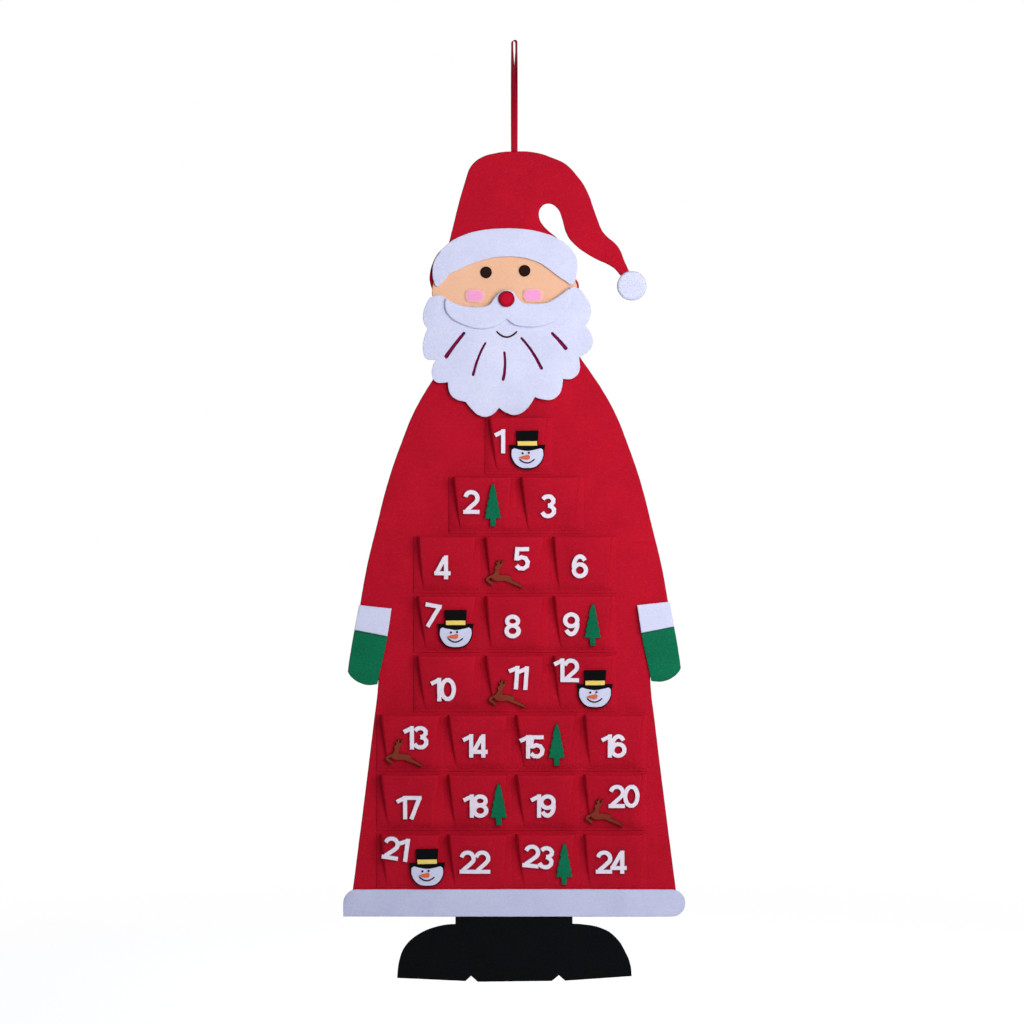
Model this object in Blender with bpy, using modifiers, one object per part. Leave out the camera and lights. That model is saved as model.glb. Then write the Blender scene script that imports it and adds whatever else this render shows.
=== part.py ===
"""Felt wall advent calendar: a robed, bearded winter figure with 24 numbered pockets.

The calendar is cut from flat sheets of felt that lie on one another, and hangs on a ribbon loop.
Metres, +Z up. The origin is the point inside the top of the loop where the nail bears, and the
viewer stands at -Y. Each outline is written in shares of its own piece's width and height.
"""

import math

import bmesh
import bpy
from mathutils import Matrix, Vector

# Felt and ribbon thicknesses
PANEL_THICKNESS = 0.003
HAT_THICKNESS = 0.0025
FACE_THICKNESS = 0.0025
TRIM_THICKNESS = 0.0025
MOUSTACHE_THICKNESS = 0.0025
MITTEN_THICKNESS = 0.0025
NOSE_THICKNESS = 0.003
POMPOM_THICKNESS = 0.005
POCKET_THICKNESS = 0.0015
NUMBER_THICKNESS = 0.0025
ORNAMENT_THICKNESS = 0.003
FACE_DISC_THICKNESS = 0.0015
RIBBON_THICKNESS = 0.0006

# Clearances
LAYER_GAP = 0.0003
STRAND_GAP = 0.0004
EDGE_GAP = 0.0005
WELD_DISTANCE = 0.000001

# Ribbon loop
RIBBON_WIDTH = 0.008
LOOP_DROP = 0.1324
LOOP_INNER_WIDTH = 0.0046
LOOP_STRAIGHT_TOP = 0.012
LOOP_STRAIGHT_FOOT = 0.008
TAB_DROP = 0.03
LOOP_STRAND_STEPS = 14
LOOP_ARC_STEPS = 8
LOOP_TWIST = math.radians(90)

# Hat
HAT_WIDTH = 0.2226
HAT_HEIGHT = 0.1205
NAIL_ON_HAT_SHARE = 0.3655
POMPOM_DIAMETER = 0.0355
BRIM_WIDTH = 0.1736
BRIM_HEIGHT = 0.0685

# Head
HEAD_SHIFT = -0.009
FACE_WIDTH = 0.173
FACE_HEIGHT = 0.084
BACKING_WIDTH = 0.1794
BEARD_WIDTH = 0.204
BEARD_HEIGHT = 0.1524
BEARD_SHIFT = -0.0076
BEARD_TOP_DROP = 0.046
SLIT_WIDTH = 0.0036
MOUSTACHE_WIDTH = 0.1584
MOUSTACHE_HEIGHT = 0.048
EYE_DIAMETER = 0.014
CHEEK_WIDTH = 0.024
CHEEK_HEIGHT = 0.0168
NOSE_DIAMETER = 0.0195

# Robe
FIGURE_HEIGHT = 0.9972
PANEL_HALF_WIDTH = 0.196
HEM_WIDTH = 0.4104
HEM_HEIGHT = 0.0324
BOOTS_WIDTH = 0.282
BOOTS_HEIGHT = 0.0946

# Hands
HAND_REACH = 0.171
HAND_DROP = 0.442
RIGHT_HAND_RAISE = 0.004
CUFF_WIDTH = 0.0456
CUFF_HEIGHT = 0.0384
MITTEN_WIDTH = 0.048
MITTEN_HEIGHT = 0.084

# Pockets
POCKETS_IN_ROWS = [1, 2, 3, 3, 3, 4, 4, 4]
ROW_SHIFT_SHARES = [0.075, 0.035, 0.01, 0.01, 0.01, -0.045, -0.045, -0.045]
WIDE_ROW_SHARE = 0.857
SIDE_MARGIN = 0.0054
FLANGE_WIDTH = 0.012
END_FLANGE_WIDTH = 0.006
ROW_GAP = 0.0083
SEAM_HEIGHT = 0.003
POCKET_DEPTH = 0.012
PLEAT_WIDTH = 0.008
MOUTH_INSET = 0.0015
BEARD_CLEARANCE = 0.0015

# Numbers
NUMBER_HEIGHT = 0.0294
DIGIT_WIDTH = 0.0198
ONE_WIDTH = 0.0138
NUMBER_STROKE = 0.0052
DIGIT_OVERLAP = 0.0024

# Shapes of the digits, as shares of their width and height, and the ends of round strokes in degrees
ONE_FLAG_SHARES = (0.10, 0.74)
TWO_BOW_TURNS = (170, -35)
WAIST_SHARE = 0.53
UPPER_BOWL_SHARE = 0.9
THREE_UPPER_TURNS = (160, -90)
THREE_LOWER_TURNS = (90, -165)
FOUR_BAR_SHARE = 0.25
FOUR_STEM_SHARE = 0.72
LOWER_BOWL_SHARE = 0.58
FIVE_TOP_SHARES = (0.18, 0.94)
FIVE_NECK_SHARES = [(0.24, 1.00), (0.16, 0.44)]
FIVE_BOWL_TURNS = (135, -155)
SIX_BACK_TURNS = (35, 190)
SEVEN_FOOT_SHARE = 0.36

# Steps of round outlines
HALF_TURN_STEPS = 7
SLIT_STEPS = 6
SLIT_END_STEPS = 5
CHEEK_SQUARENESS = 0.64
CURVE_STEPS = 3
ORNAMENT_CURVE_STEPS = 2
SHARPEST_MITRE = math.radians(60)

# Ornaments
SNOWMAN_WIDTH = 0.0432
SNOWMAN_HEIGHT = 0.0474
TREE_WIDTH = 0.0204
TREE_HEIGHT = 0.0516
REINDEER_WIDTH = 0.0456
REINDEER_HEIGHT = 0.0348

# Surfaces
FELT_ROUGHNESS = 0.95
RIBBON_ROUGHNESS = 0.5

# Point kinds of an outline
SMOOTH = "AUTO"
CORNER = "VECTOR"

# Depths of the felt layers, each from the one behind it
LOOP_HALF_STACK = RIBBON_THICKNESS + STRAND_GAP / 2
TAB_THICKNESS = 2 * RIBBON_THICKNESS
HINGE_CLEARANCE = LOOP_HALF_STACK + LAYER_GAP
FIRST_LAYER_Y = -HINGE_CLEARANCE - TAB_THICKNESS
PANEL_REAR_Y = FIRST_LAYER_Y + LAYER_GAP + PANEL_THICKNESS
SECOND_LAYER_Y = FIRST_LAYER_Y - max(HAT_THICKNESS, FACE_THICKNESS) - LAYER_GAP
THIRD_LAYER_Y = SECOND_LAYER_Y - TRIM_THICKNESS - LAYER_GAP
FOURTH_LAYER_Y = THIRD_LAYER_Y - MOUSTACHE_THICKNESS - LAYER_GAP
CUFF_LAYER_Y = FIRST_LAYER_Y - MITTEN_THICKNESS - LAYER_GAP
POMPOM_LAYER_Y = FIRST_LAYER_Y - HAT_THICKNESS - LAYER_GAP

# Heights of the main edges, each from the one above it
HINGE_Z = -LOOP_DROP
HAT_TOP_Z = HINGE_Z - HINGE_CLEARANCE
FACE_TOP_Z = HAT_TOP_Z - HAT_HEIGHT
PANEL_DROP = FIGURE_HEIGHT - HAT_HEIGHT - EDGE_GAP - BOOTS_HEIGHT
PANEL_BOTTOM_Z = FACE_TOP_Z - PANEL_DROP
BEARD_TOP_Z = FACE_TOP_Z - BEARD_TOP_DROP
BEARD_BOTTOM_Z = BEARD_TOP_Z - BEARD_HEIGHT
HEM_TOP_Z = PANEL_BOTTOM_Z + HEM_HEIGHT / 2

# Pocket block between the hem band and the beard
LOWEST_POCKET_Z = HEM_TOP_Z + EDGE_GAP + SEAM_HEIGHT
ROW_COUNT = len(POCKETS_IN_ROWS)
ROW_PITCH = (BEARD_BOTTOM_Z - BEARD_CLEARANCE - LOWEST_POCKET_Z + ROW_GAP) / ROW_COUNT
POCKET_HEIGHT = ROW_PITCH - ROW_GAP
WIDEST_COUNT = max(POCKETS_IN_ROWS)
WIDE_ROW_WIDTH = 2 * (PANEL_HALF_WIDTH * WIDE_ROW_SHARE - SIDE_MARGIN - END_FLANGE_WIDTH)
POCKET_WIDTH = (WIDE_ROW_WIDTH - (WIDEST_COUNT - 1) * FLANGE_WIDTH) / WIDEST_COUNT
POCKET_PITCH = POCKET_WIDTH + FLANGE_WIDTH
FRONT_TILT = math.atan2(POCKET_DEPTH, POCKET_HEIGHT)
FRONT_LENGTH = math.hypot(POCKET_DEPTH, POCKET_HEIGHT)

# Hat outline, from its left edge and the top of the face
HAT_OUTLINE_SHARES = [
    (0.000, 0.000, CORNER), (0.013, 0.087, SMOOTH), (0.107, 0.744, SMOOTH), (0.132, 0.854, SMOOTH),
    (0.181, 0.933, SMOOTH), (0.251, 0.978, SMOOTH), (0.356, 1.000, SMOOTH), (0.481, 0.988, SMOOTH),
    (0.568, 0.938, SMOOTH), (0.644, 0.871, SMOOTH), (0.702, 0.760, SMOOTH), (0.750, 0.634, SMOOTH),
    (0.808, 0.352, SMOOTH), (0.844, 0.196, SMOOTH), (0.925, 0.049, SMOOTH), (0.962, -0.103, SMOOTH),
    (1.000, -0.260, CORNER), (0.943, -0.242, CORNER), (0.895, -0.155, SMOOTH), (0.790, -0.058, SMOOTH),
    (0.683, 0.085, SMOOTH), (0.644, 0.191, SMOOTH), (0.625, 0.316, SMOOTH), (0.596, 0.435, SMOOTH),
    (0.548, 0.479, SMOOTH), (0.509, 0.440, SMOOTH), (0.500, 0.336, SMOOTH), (0.529, 0.246, SMOOTH),
    (0.596, 0.136, SMOOTH), (0.662, 0.000, CORNER),
]
POMPOM_PLACE_SHARES = (0.998, -0.343)

# Brim outline, about the head's centre line and the top of the face
BRIM_OUTLINE_SHARES = [
    (-0.406, 0.138, SMOOTH), (-0.306, 0.280, SMOOTH), (-0.182, 0.368, SMOOTH), (0.001, 0.405, SMOOTH),
    (0.126, 0.389, SMOOTH), (0.250, 0.327, SMOOTH), (0.347, 0.233, SMOOTH), (0.423, 0.093, SMOOTH),
    (0.471, -0.065, SMOOTH), (0.488, -0.250, SMOOTH), (0.481, -0.400, SMOOTH), (0.470, -0.530, SMOOTH),
    (0.448, -0.588, SMOOTH), (0.415, -0.538, SMOOTH), (0.352, -0.430, SMOOTH), (0.264, -0.262, SMOOTH),
    (0.200, -0.173, SMOOTH), (0.001, -0.089, SMOOTH), (-0.195, -0.175, SMOOTH), (-0.345, -0.335, SMOOTH),
    (-0.395, -0.400, SMOOTH), (-0.425, -0.495, SMOOTH), (-0.458, -0.580, SMOOTH), (-0.482, -0.612, SMOOTH),
    (-0.502, -0.540, SMOOTH), (-0.513, -0.345, SMOOTH), (-0.503, -0.180, SMOOTH), (-0.466, -0.025, SMOOTH),
]

# Face outline, and the eyes and cheeks on it
FACE_OUTLINE_SHARES = [
    (-0.456, 0.000, CORNER), (-0.501, -0.180, SMOOTH), (-0.506, -0.400, SMOOTH), (-0.519, -0.540, SMOOTH),
    (-0.516, -0.640, SMOOTH), (-0.491, -0.760, SMOOTH), (-0.380, -0.900, SMOOTH), (0.008, -0.960, SMOOTH),
    (0.369, -0.900, SMOOTH), (0.459, -0.729, SMOOTH), (0.487, -0.500, SMOOTH), (0.470, -0.380, SMOOTH),
    (0.470, -0.180, SMOOTH), (0.450, 0.000, CORNER),
]
EYE_PLACE_SHARES = [(-0.144, -0.292), (0.123, -0.268)]
CHEEK_PLACE_SHARES = [(-0.221, -0.625), (0.181, -0.618)]

# Back of the head, right side going up and left side going down, about the head's centre line
BACKING_RIGHT_SHARES = [
    (0.436, -1.119, SMOOTH), (0.470, -0.761, SMOOTH), (0.483, -0.520, SMOOTH), (0.480, -0.450, SMOOTH),
    (0.462, -0.380, SMOOTH), (0.458, -0.176, SMOOTH), (0.425, 0.010, SMOOTH), (0.369, 0.110, CORNER),
]
BACKING_LEFT_SHARES = [
    (-0.367, 0.110, CORNER), (-0.447, 0.010, SMOOTH), (-0.494, -0.147, SMOOTH), (-0.516, -0.333, SMOOTH),
    (-0.514, -0.440, SMOOTH), (-0.502, -0.530, SMOOTH), (-0.494, -0.640, SMOOTH), (-0.480, -1.119, SMOOTH),
]

# Robe side from the beard down to the hem: half width and drop
ROBE_SIDE_SHARES = [
    (0.404, 0.162, CORNER), (0.459, 0.182, SMOOTH), (0.539, 0.212, SMOOTH), (0.624, 0.251, SMOOTH),
    (0.688, 0.291, SMOOTH), (0.771, 0.351, SMOOTH), (0.849, 0.427, SMOOTH), (0.903, 0.483, SMOOTH),
    (0.945, 0.542, CORNER), (0.835, 0.590, CORNER), (0.835, 0.665, SMOOTH), (0.859, 0.719, SMOOTH),
    (1.000, 1.000, CORNER),
]

# Beard outline and its five slits, from its top edge
BEARD_OUTLINE_SHARES = [
    (-0.454, -0.060, SMOOTH), (-0.478, -0.107, SMOOTH), (-0.499, -0.191, SMOOTH), (-0.494, -0.261, SMOOTH),
    (-0.472, -0.307, CORNER), (-0.488, -0.360, SMOOTH), (-0.500, -0.472, SMOOTH), (-0.478, -0.543, SMOOTH),
    (-0.425, -0.550, CORNER), (-0.441, -0.598, SMOOTH), (-0.447, -0.669, SMOOTH), (-0.425, -0.724, SMOOTH),
    (-0.353, -0.728, CORNER), (-0.347, -0.795, SMOOTH), (-0.320, -0.850, SMOOTH), (-0.249, -0.882, CORNER),
    (-0.215, -0.937, SMOOTH), (-0.173, -0.986, SMOOTH), (-0.131, -1.000, SMOOTH), (-0.088, -0.979, SMOOTH),
    (-0.053, -0.929, CORNER), (-0.015, -0.965, SMOOTH), (0.037, -0.986, SMOOTH), (0.100, -0.950, SMOOTH),
    (0.158, -0.845, CORNER), (0.206, -0.863, SMOOTH), (0.259, -0.863, SMOOTH), (0.306, -0.811, SMOOTH),
    (0.324, -0.701, CORNER), (0.373, -0.701, SMOOTH), (0.415, -0.654, SMOOTH), (0.418, -0.528, CORNER),
    (0.457, -0.501, SMOOTH), (0.494, -0.444, SMOOTH), (0.500, -0.388, SMOOTH), (0.457, -0.280, CORNER),
    (0.484, -0.205, SMOOTH), (0.484, -0.121, SMOOTH), (0.453, -0.050, SMOOTH), (0.420, 0.007, SMOOTH),
    (0.376, 0.027, CORNER), (0.344, -0.014, SMOOTH), (0.218, -0.142, SMOOTH), (-0.012, -0.155, SMOOTH),
    (-0.224, -0.165, SMOOTH), (-0.315, -0.114, SMOOTH), (-0.360, -0.069, SMOOTH), (-0.407, -0.044, SMOOTH),
]
BEARD_SLIT_SHARES = [
    [(-0.259, -0.343), (-0.312, -0.430), (-0.365, -0.528)],
    [(-0.133, -0.420), (-0.173, -0.528), (-0.205, -0.669)],
    [(-0.022, -0.494), (-0.018, -0.598), (-0.029, -0.705)],
    [(0.079, -0.381), (0.140, -0.485), (0.196, -0.618)],
    [(0.259, -0.343), (0.300, -0.400), (0.339, -0.461)],
]
SLIT_WIDTH_SHARES = [1.00, 0.67, 0.72, 0.75, 0.94]
SLIT_TAPER = 1.35

# Moustache outline and the nose on it, from its top edge
MOUSTACHE_OUTLINE_SHARES = [
    (-0.464, -0.235, CORNER), (-0.417, -0.325, SMOOTH), (-0.337, -0.417, SMOOTH), (-0.227, -0.450, SMOOTH),
    (-0.136, -0.395, SMOOTH), (-0.095, -0.230, SMOOTH), (-0.057, -0.095, SMOOTH), (0.002, -0.028, SMOOTH),
    (0.056, -0.090, SMOOTH), (0.083, -0.230, SMOOTH), (0.114, -0.325, SMOOTH), (0.183, -0.362, SMOOTH),
    (0.259, -0.365, SMOOTH), (0.329, -0.307, SMOOTH), (0.401, -0.155, SMOOTH), (0.449, -0.037, SMOOTH),
    (0.485, 0.040, CORNER), (0.477, -0.300, SMOOTH), (0.424, -0.625, SMOOTH), (0.341, -0.850, SMOOTH),
    (0.242, -0.945, SMOOTH), (0.136, -0.950, SMOOTH), (0.055, -0.900, SMOOTH), (0.000, -0.758, CORNER),
    (-0.038, -0.855, SMOOTH), (-0.106, -0.967, SMOOTH), (-0.202, -1.000, SMOOTH), (-0.364, -0.850, SMOOTH),
    (-0.432, -0.700, SMOOTH), (-0.470, -0.450, SMOOTH),
]
MOUSTACHE_TOP_SHARE = 0.021
NOSE_PLACE_SHARES = (-0.002, -0.26)

# Cuff and mitten outlines of the left hand, about the cuff's centre
CUFF_OUTLINE_SHARES = [
    (-0.330, 0.470, CORNER), (0.522, 0.360, CORNER), (0.413, -0.506, CORNER), (-0.455, -0.305, CORNER),
]
MITTEN_OUTLINE_SHARES = [
    (-0.330, 0.080, CORNER), (-0.435, -0.143, CORNER), (-0.600, -0.730, CORNER), (-0.555, -0.785, SMOOTH),
    (-0.400, -0.868, SMOOTH), (-0.240, -0.912, SMOOTH), (-0.080, -0.930, SMOOTH), (0.135, -0.920, CORNER),
    (0.392, -0.245, CORNER), (0.430, 0.030, CORNER),
]

# Boots outline, from their soles
BOOTS_OUTLINE_SHARES = [
    (-0.251, 1.000, CORNER), (-0.251, 0.735, CORNER), (-0.316, 0.713, SMOOTH), (-0.414, 0.594, SMOOTH),
    (-0.469, 0.434, SMOOTH), (-0.492, 0.242, SMOOTH), (-0.499, 0.050, CORNER), (-0.208, 0.010, CORNER),
    (-0.184, 0.075, CORNER), (-0.156, 0.000, CORNER), (0.160, 0.010, CORNER), (0.190, 0.084, CORNER),
    (0.216, 0.013, CORNER), (0.500, 0.072, CORNER), (0.495, 0.212, SMOOTH), (0.475, 0.370, SMOOTH),
    (0.433, 0.562, SMOOTH), (0.377, 0.675, SMOOTH), (0.305, 0.725, SMOOTH), (0.248, 0.738, CORNER),
    (0.248, 1.000, CORNER),
]

# Right half of the snowman's outline, from its chin up to the hat
SNOWMAN_HALF_SHARES = [
    (0.200, 0.040, SMOOTH), (0.380, 0.160, SMOOTH), (0.470, 0.360, SMOOTH), (0.470, 0.490, CORNER),
    (0.500, 0.640, CORNER), (0.290, 0.630, CORNER), (0.310, 1.000, CORNER),
]

# Right half of the fir tree's outline, from its trunk up
TREE_HALF_SHARES = [
    (0.170, 0.000, CORNER), (0.150, 0.185, CORNER), (0.500, 0.210, CORNER), (0.330, 0.420, CORNER),
    (0.220, 0.530, CORNER), (0.290, 0.600, CORNER), (0.190, 0.745, CORNER), (0.150, 0.790, CORNER),
    (0.190, 0.830, CORNER), (0.080, 0.960, CORNER), (0.000, 1.000, CORNER),
]

# Leaping reindeer outline, facing left, from its hooves
REINDEER_OUTLINE_SHARES = [
    (-0.272, 0.730, CORNER), (-0.193, 0.843, CORNER), (-0.240, 0.915, CORNER), (-0.205, 0.945, CORNER),
    (-0.170, 0.900, CORNER), (-0.168, 1.000, CORNER), (-0.120, 1.000, CORNER), (-0.122, 0.876, CORNER),
    (-0.098, 0.865, CORNER), (-0.058, 0.990, CORNER), (-0.014, 0.972, CORNER), (-0.058, 0.850, CORNER),
    (-0.055, 0.787, CORNER), (-0.110, 0.700, CORNER), (-0.140, 0.584, CORNER), (-0.130, 0.483, CORNER),
    (0.000, 0.472, CORNER), (0.132, 0.449, CORNER), (0.178, 0.404, CORNER), (0.175, 0.310, CORNER),
    (0.270, 0.247, CORNER), (0.500, 0.056, CORNER), (0.470, 0.000, CORNER), (0.211, 0.146, CORNER),
    (0.079, 0.213, CORNER), (0.009, 0.258, CORNER), (-0.184, 0.247, CORNER), (-0.290, 0.290, CORNER),
    (-0.355, 0.365, CORNER), (-0.415, 0.303, CORNER), (-0.275, 0.165, CORNER), (-0.325, 0.095, CORNER),
    (-0.500, 0.270, CORNER), (-0.474, 0.393, CORNER), (-0.360, 0.455, CORNER), (-0.289, 0.528, CORNER),
    (-0.242, 0.652, CORNER),
]

# Places of the numbers on the pocket fronts: across, up, and turn in degrees
NUMBER_PLACE_SHARES = {
    1: (-0.33, 0.57, 0), 2: (-0.19, 0.55, 0), 3: (-0.04, 0.47, 0), 4: (-0.08, 0.44, 0),
    5: (0.12, 0.60, 0), 6: (-0.05, 0.46, 0), 7: (-0.26, 0.66, -10), 8: (-0.04, 0.45, 0),
    9: (-0.20, 0.49, 0), 10: (-0.07, 0.38, 0), 11: (0.05, 0.61, -4), 12: (-0.29, 0.75, 0),
    13: (0.10, 0.60, 0), 14: (-0.05, 0.44, 0), 15: (-0.24, 0.42, 0), 16: (0.00, 0.44, 0),
    17: (-0.02, 0.40, 0), 18: (-0.04, 0.43, 0), 19: (-0.05, 0.43, 0), 20: (0.18, 0.62, 0),
    21: (-0.24, 0.76, -8), 22: (-0.05, 0.50, 0), 23: (-0.12, 0.60, -6), 24: (-0.04, 0.50, 0),
}

# Places of the ornaments on the pocket fronts: across and up
SNOWMAN_PLACE_SHARES = {1: (0.15, 0.40), 7: (0.15, 0.39), 12: (0.21, 0.38), 21: (0.30, 0.38)}
TREE_PLACE_SHARES = {2: (0.18, 0.49), 9: (0.17, 0.48), 15: (0.19, 0.46), 18: (0.36, 0.46), 23: (0.32, 0.46)}
REINDEER_PLACE_SHARES = {5: (-0.18, 0.31), 11: (-0.13, 0.29), 13: (-0.10, 0.30), 20: (-0.16, 0.30)}

for old_object in list(bpy.data.objects):
    bpy.data.objects.remove(old_object, do_unlink=True)

parts = bpy.data.collections.new("felt_advent_calendar")
bpy.context.scene.collection.children.link(parts)
cutters = bpy.data.collections.new("cutters")
bpy.context.scene.collection.children.link(cutters)


def make_material(name, colour, roughness):
    """Plain surface with one linear colour."""
    material = bpy.data.materials.new(name)
    material.use_nodes = True
    surface = material.node_tree.nodes["Principled BSDF"]
    surface.inputs["Base Color"].default_value = (*colour, 1)
    surface.inputs["Roughness"].default_value = roughness
    surface.inputs["Metallic"].default_value = 0
    return material


RED_FELT = make_material("red_felt", (0.48, 0.01, 0.03), FELT_ROUGHNESS)
WHITE_FELT = make_material("white_felt", (0.68, 0.70, 0.90), FELT_ROUGHNESS)
PEACH_FELT = make_material("peach_felt", (0.86, 0.50, 0.34), FELT_ROUGHNESS)
GREEN_FELT = make_material("green_felt", (0.01, 0.17, 0.08), FELT_ROUGHNESS)
BLACK_FELT = make_material("black_felt", (0.01, 0.01, 0.01), FELT_ROUGHNESS)
BROWN_FELT = make_material("brown_felt", (0.16, 0.06, 0.03), FELT_ROUGHNESS)
RED_RIBBON = make_material("red_ribbon", (0.45, 0.01, 0.03), RIBBON_ROUGHNESS)


def scaled(shares, width, height):
    """Outline points in metres from shares of a width and a height."""
    return [(x * width, z * height, kind) for x, z, kind in shares]


def mirrored(points):
    """The same outline seen from behind."""
    return [(-x, z, kind) for x, z, kind in reversed(points)]


def both_halves(half_points):
    """Right half going up, then its mirror image coming down."""
    left_half = [point for point in mirrored(half_points) if point[0]]
    return half_points + left_half


def ellipse(centre, radii, turns, steps=HALF_TURN_STEPS):
    """Points along an arc of an ellipse, between two turns in degrees."""
    first, last = turns
    points = []
    for step in range(steps + 1):
        angle = math.radians(first + (last - first) * step / steps)
        points.append((centre[0] + radii[0] * math.cos(angle), centre[1] + radii[1] * math.sin(angle)))
    return points


def ring_points(centre, radii, steps=2 * HALF_TURN_STEPS):
    """Closed ellipse without a repeated last point."""
    return ellipse(centre, radii, (0, 360), steps)[:-1]


def corners(points):
    """Marks every point of an outline as a corner."""
    return [(x, z, CORNER) for x, z in points]


def stroke_edges(path, width, closed=False, taper=1):
    """Left and right edges of a strip along a path, whose width grows by the taper towards its last point."""
    left_edge = []
    right_edge = []
    for index, (x, z) in enumerate(path):
        before = path[index - 1] if index or closed else path[index]
        after = path[(index + 1) % len(path)] if index + 1 < len(path) or closed else path[index]
        incoming = Vector((x - before[0], z - before[1]))
        outgoing = Vector((after[0] - x, after[1] - z))
        if not incoming.length:
            incoming = outgoing
        if not outgoing.length:
            outgoing = incoming
        incoming.normalize()
        outgoing.normalize()
        along = (incoming + outgoing).normalized()
        growth = 1 + (taper - 1) * index / (len(path) - 1)
        reach = width * growth / 2 / max(along.dot(incoming), math.cos(SHARPEST_MITRE))
        left_edge.append((x - along.y * reach, z + along.x * reach))
        right_edge.append((x + along.y * reach, z - along.x * reach))
    return left_edge, right_edge


def outline_curve(name, outlines, thickness, curve_steps):
    """Flat plate: each outline is a closed spline, and inner ones are holes."""
    curve = bpy.data.curves.new(name, "CURVE")
    curve.dimensions = "2D"
    curve.fill_mode = "BOTH"
    curve.extrude = thickness / 2
    curve.resolution_u = curve_steps
    for outline in outlines:
        if all(kind == CORNER for _, _, kind in outline):
            spline = curve.splines.new("POLY")
            spline.points.add(len(outline) - 1)
            for point, (x, z, _) in zip(spline.points, outline):
                point.co = (x, z, 0, 1)
        else:
            spline = curve.splines.new("BEZIER")
            spline.bezier_points.add(len(outline) - 1)
            for point, (x, z, kind) in zip(spline.bezier_points, outline):
                point.co = (x, z, 0)
                point.handle_left_type = kind
                point.handle_right_type = kind
        spline.use_cyclic_u = True
    return curve


def stand_up(plate, place, rear_y, thickness):
    """Turns a flat plate to face the viewer, with its rear face at rear_y."""
    plate.rotation_euler = (math.pi / 2, 0, 0)
    plate.location = (place[0], rear_y - thickness / 2, place[1])


def felt_plate(name, outlines, place, rear_y, thickness, material, curve_steps=CURVE_STEPS):
    """A piece of felt cut to an outline and laid at its depth."""
    curve = outline_curve(name, outlines, thickness, curve_steps)
    curve.materials.append(material)
    plate = bpy.data.objects.new(name, curve)
    stand_up(plate, place, rear_y, thickness)
    parts.objects.link(plate)
    return plate


def solid_mesh(source):
    """Closed mesh of an object's evaluated shape, with its caps welded on."""
    bpy.context.view_layer.update()
    evaluated = source.evaluated_get(bpy.context.evaluated_depsgraph_get())
    mesh = bpy.data.meshes.new_from_object(evaluated)
    welder = bmesh.new()
    welder.from_mesh(mesh)
    bmesh.ops.remove_doubles(welder, verts=welder.verts, dist=WELD_DISTANCE)
    bmesh.ops.recalc_face_normals(welder, faces=welder.faces)
    welder.to_mesh(mesh)
    welder.free()
    return mesh


def plate_mesh(name, outlines, thickness):
    """Closed mesh of a flat plate, in the plate's own plane."""
    curve = outline_curve(name, outlines, thickness, CURVE_STEPS)
    source = bpy.data.objects.new(name, curve)
    cutters.objects.link(source)
    mesh = solid_mesh(source)
    bpy.data.objects.remove(source, do_unlink=True)
    bpy.data.curves.remove(curve)
    return mesh


def united_mesh(name, meshes):
    """One closed mesh from overlapping ones."""
    bodies = []
    for mesh in meshes:
        body = bpy.data.objects.new(name, mesh)
        cutters.objects.link(body)
        bodies.append(body)
    base = bodies[0]
    for body in bodies[1:]:
        union = base.modifiers.new("union", "BOOLEAN")
        union.operation = "UNION"
        union.solver = "EXACT"
        union.object = body
    joined = solid_mesh(base)
    for body in bodies:
        bpy.data.objects.remove(body, do_unlink=True)
    joined.name = name
    return joined


def mesh_object(name, mesh, material):
    """A part from a finished mesh."""
    mesh.materials.clear()
    mesh.materials.append(material)
    part = bpy.data.objects.new(name, mesh)
    parts.objects.link(part)
    return part


def moved(mesh, x, z, lift):
    """Shifts a plate's mesh in its own plane and off it."""
    for vertex in mesh.vertices:
        vertex.co += Vector((x, z, lift))
    return mesh


def disc_outline(width, height, steps=2 * HALF_TURN_STEPS):
    """Closed round or oval outline about its centre."""
    return corners(ring_points((0, 0), (width / 2, height / 2), steps))


def pad_outline(width, height, steps=4 * HALF_TURN_STEPS):
    """Closed oval with squarer corners than an ellipse, about its centre."""
    points = []
    for x, z in ring_points((0, 0), (1, 1), steps):
        points.append((math.copysign(abs(x) ** CHEEK_SQUARENESS, x) * width / 2,
                       math.copysign(abs(z) ** CHEEK_SQUARENESS, z) * height / 2))
    return corners(points)


def slit_outline(path, width):
    """Cut along a bow through three points, with round ends and wider at its lower one."""
    start, middle, end = (Vector(point) for point in path)
    bend = middle * 2 - (start + end) / 2
    bow = []
    for step in range(SLIT_STEPS + 1):
        share = step / SLIT_STEPS
        bow.append(start * (1 - share) ** 2 + bend * 2 * share * (1 - share) + end * share ** 2)
    left_edge, right_edge = stroke_edges(bow, width, taper=SLIT_TAPER)
    tips = []
    for tip, inner, radius in ((bow[-1], bow[-2], width * SLIT_TAPER / 2), (bow[0], bow[1], width / 2)):
        outward = math.degrees(math.atan2(tip.y - inner.y, tip.x - inner.x))
        tips.append(ellipse(tip, (radius, radius), (outward + 90, outward - 90), SLIT_END_STEPS)[1:-1])
    return corners(left_edge + tips[0] + right_edge[::-1] + tips[1])


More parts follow.
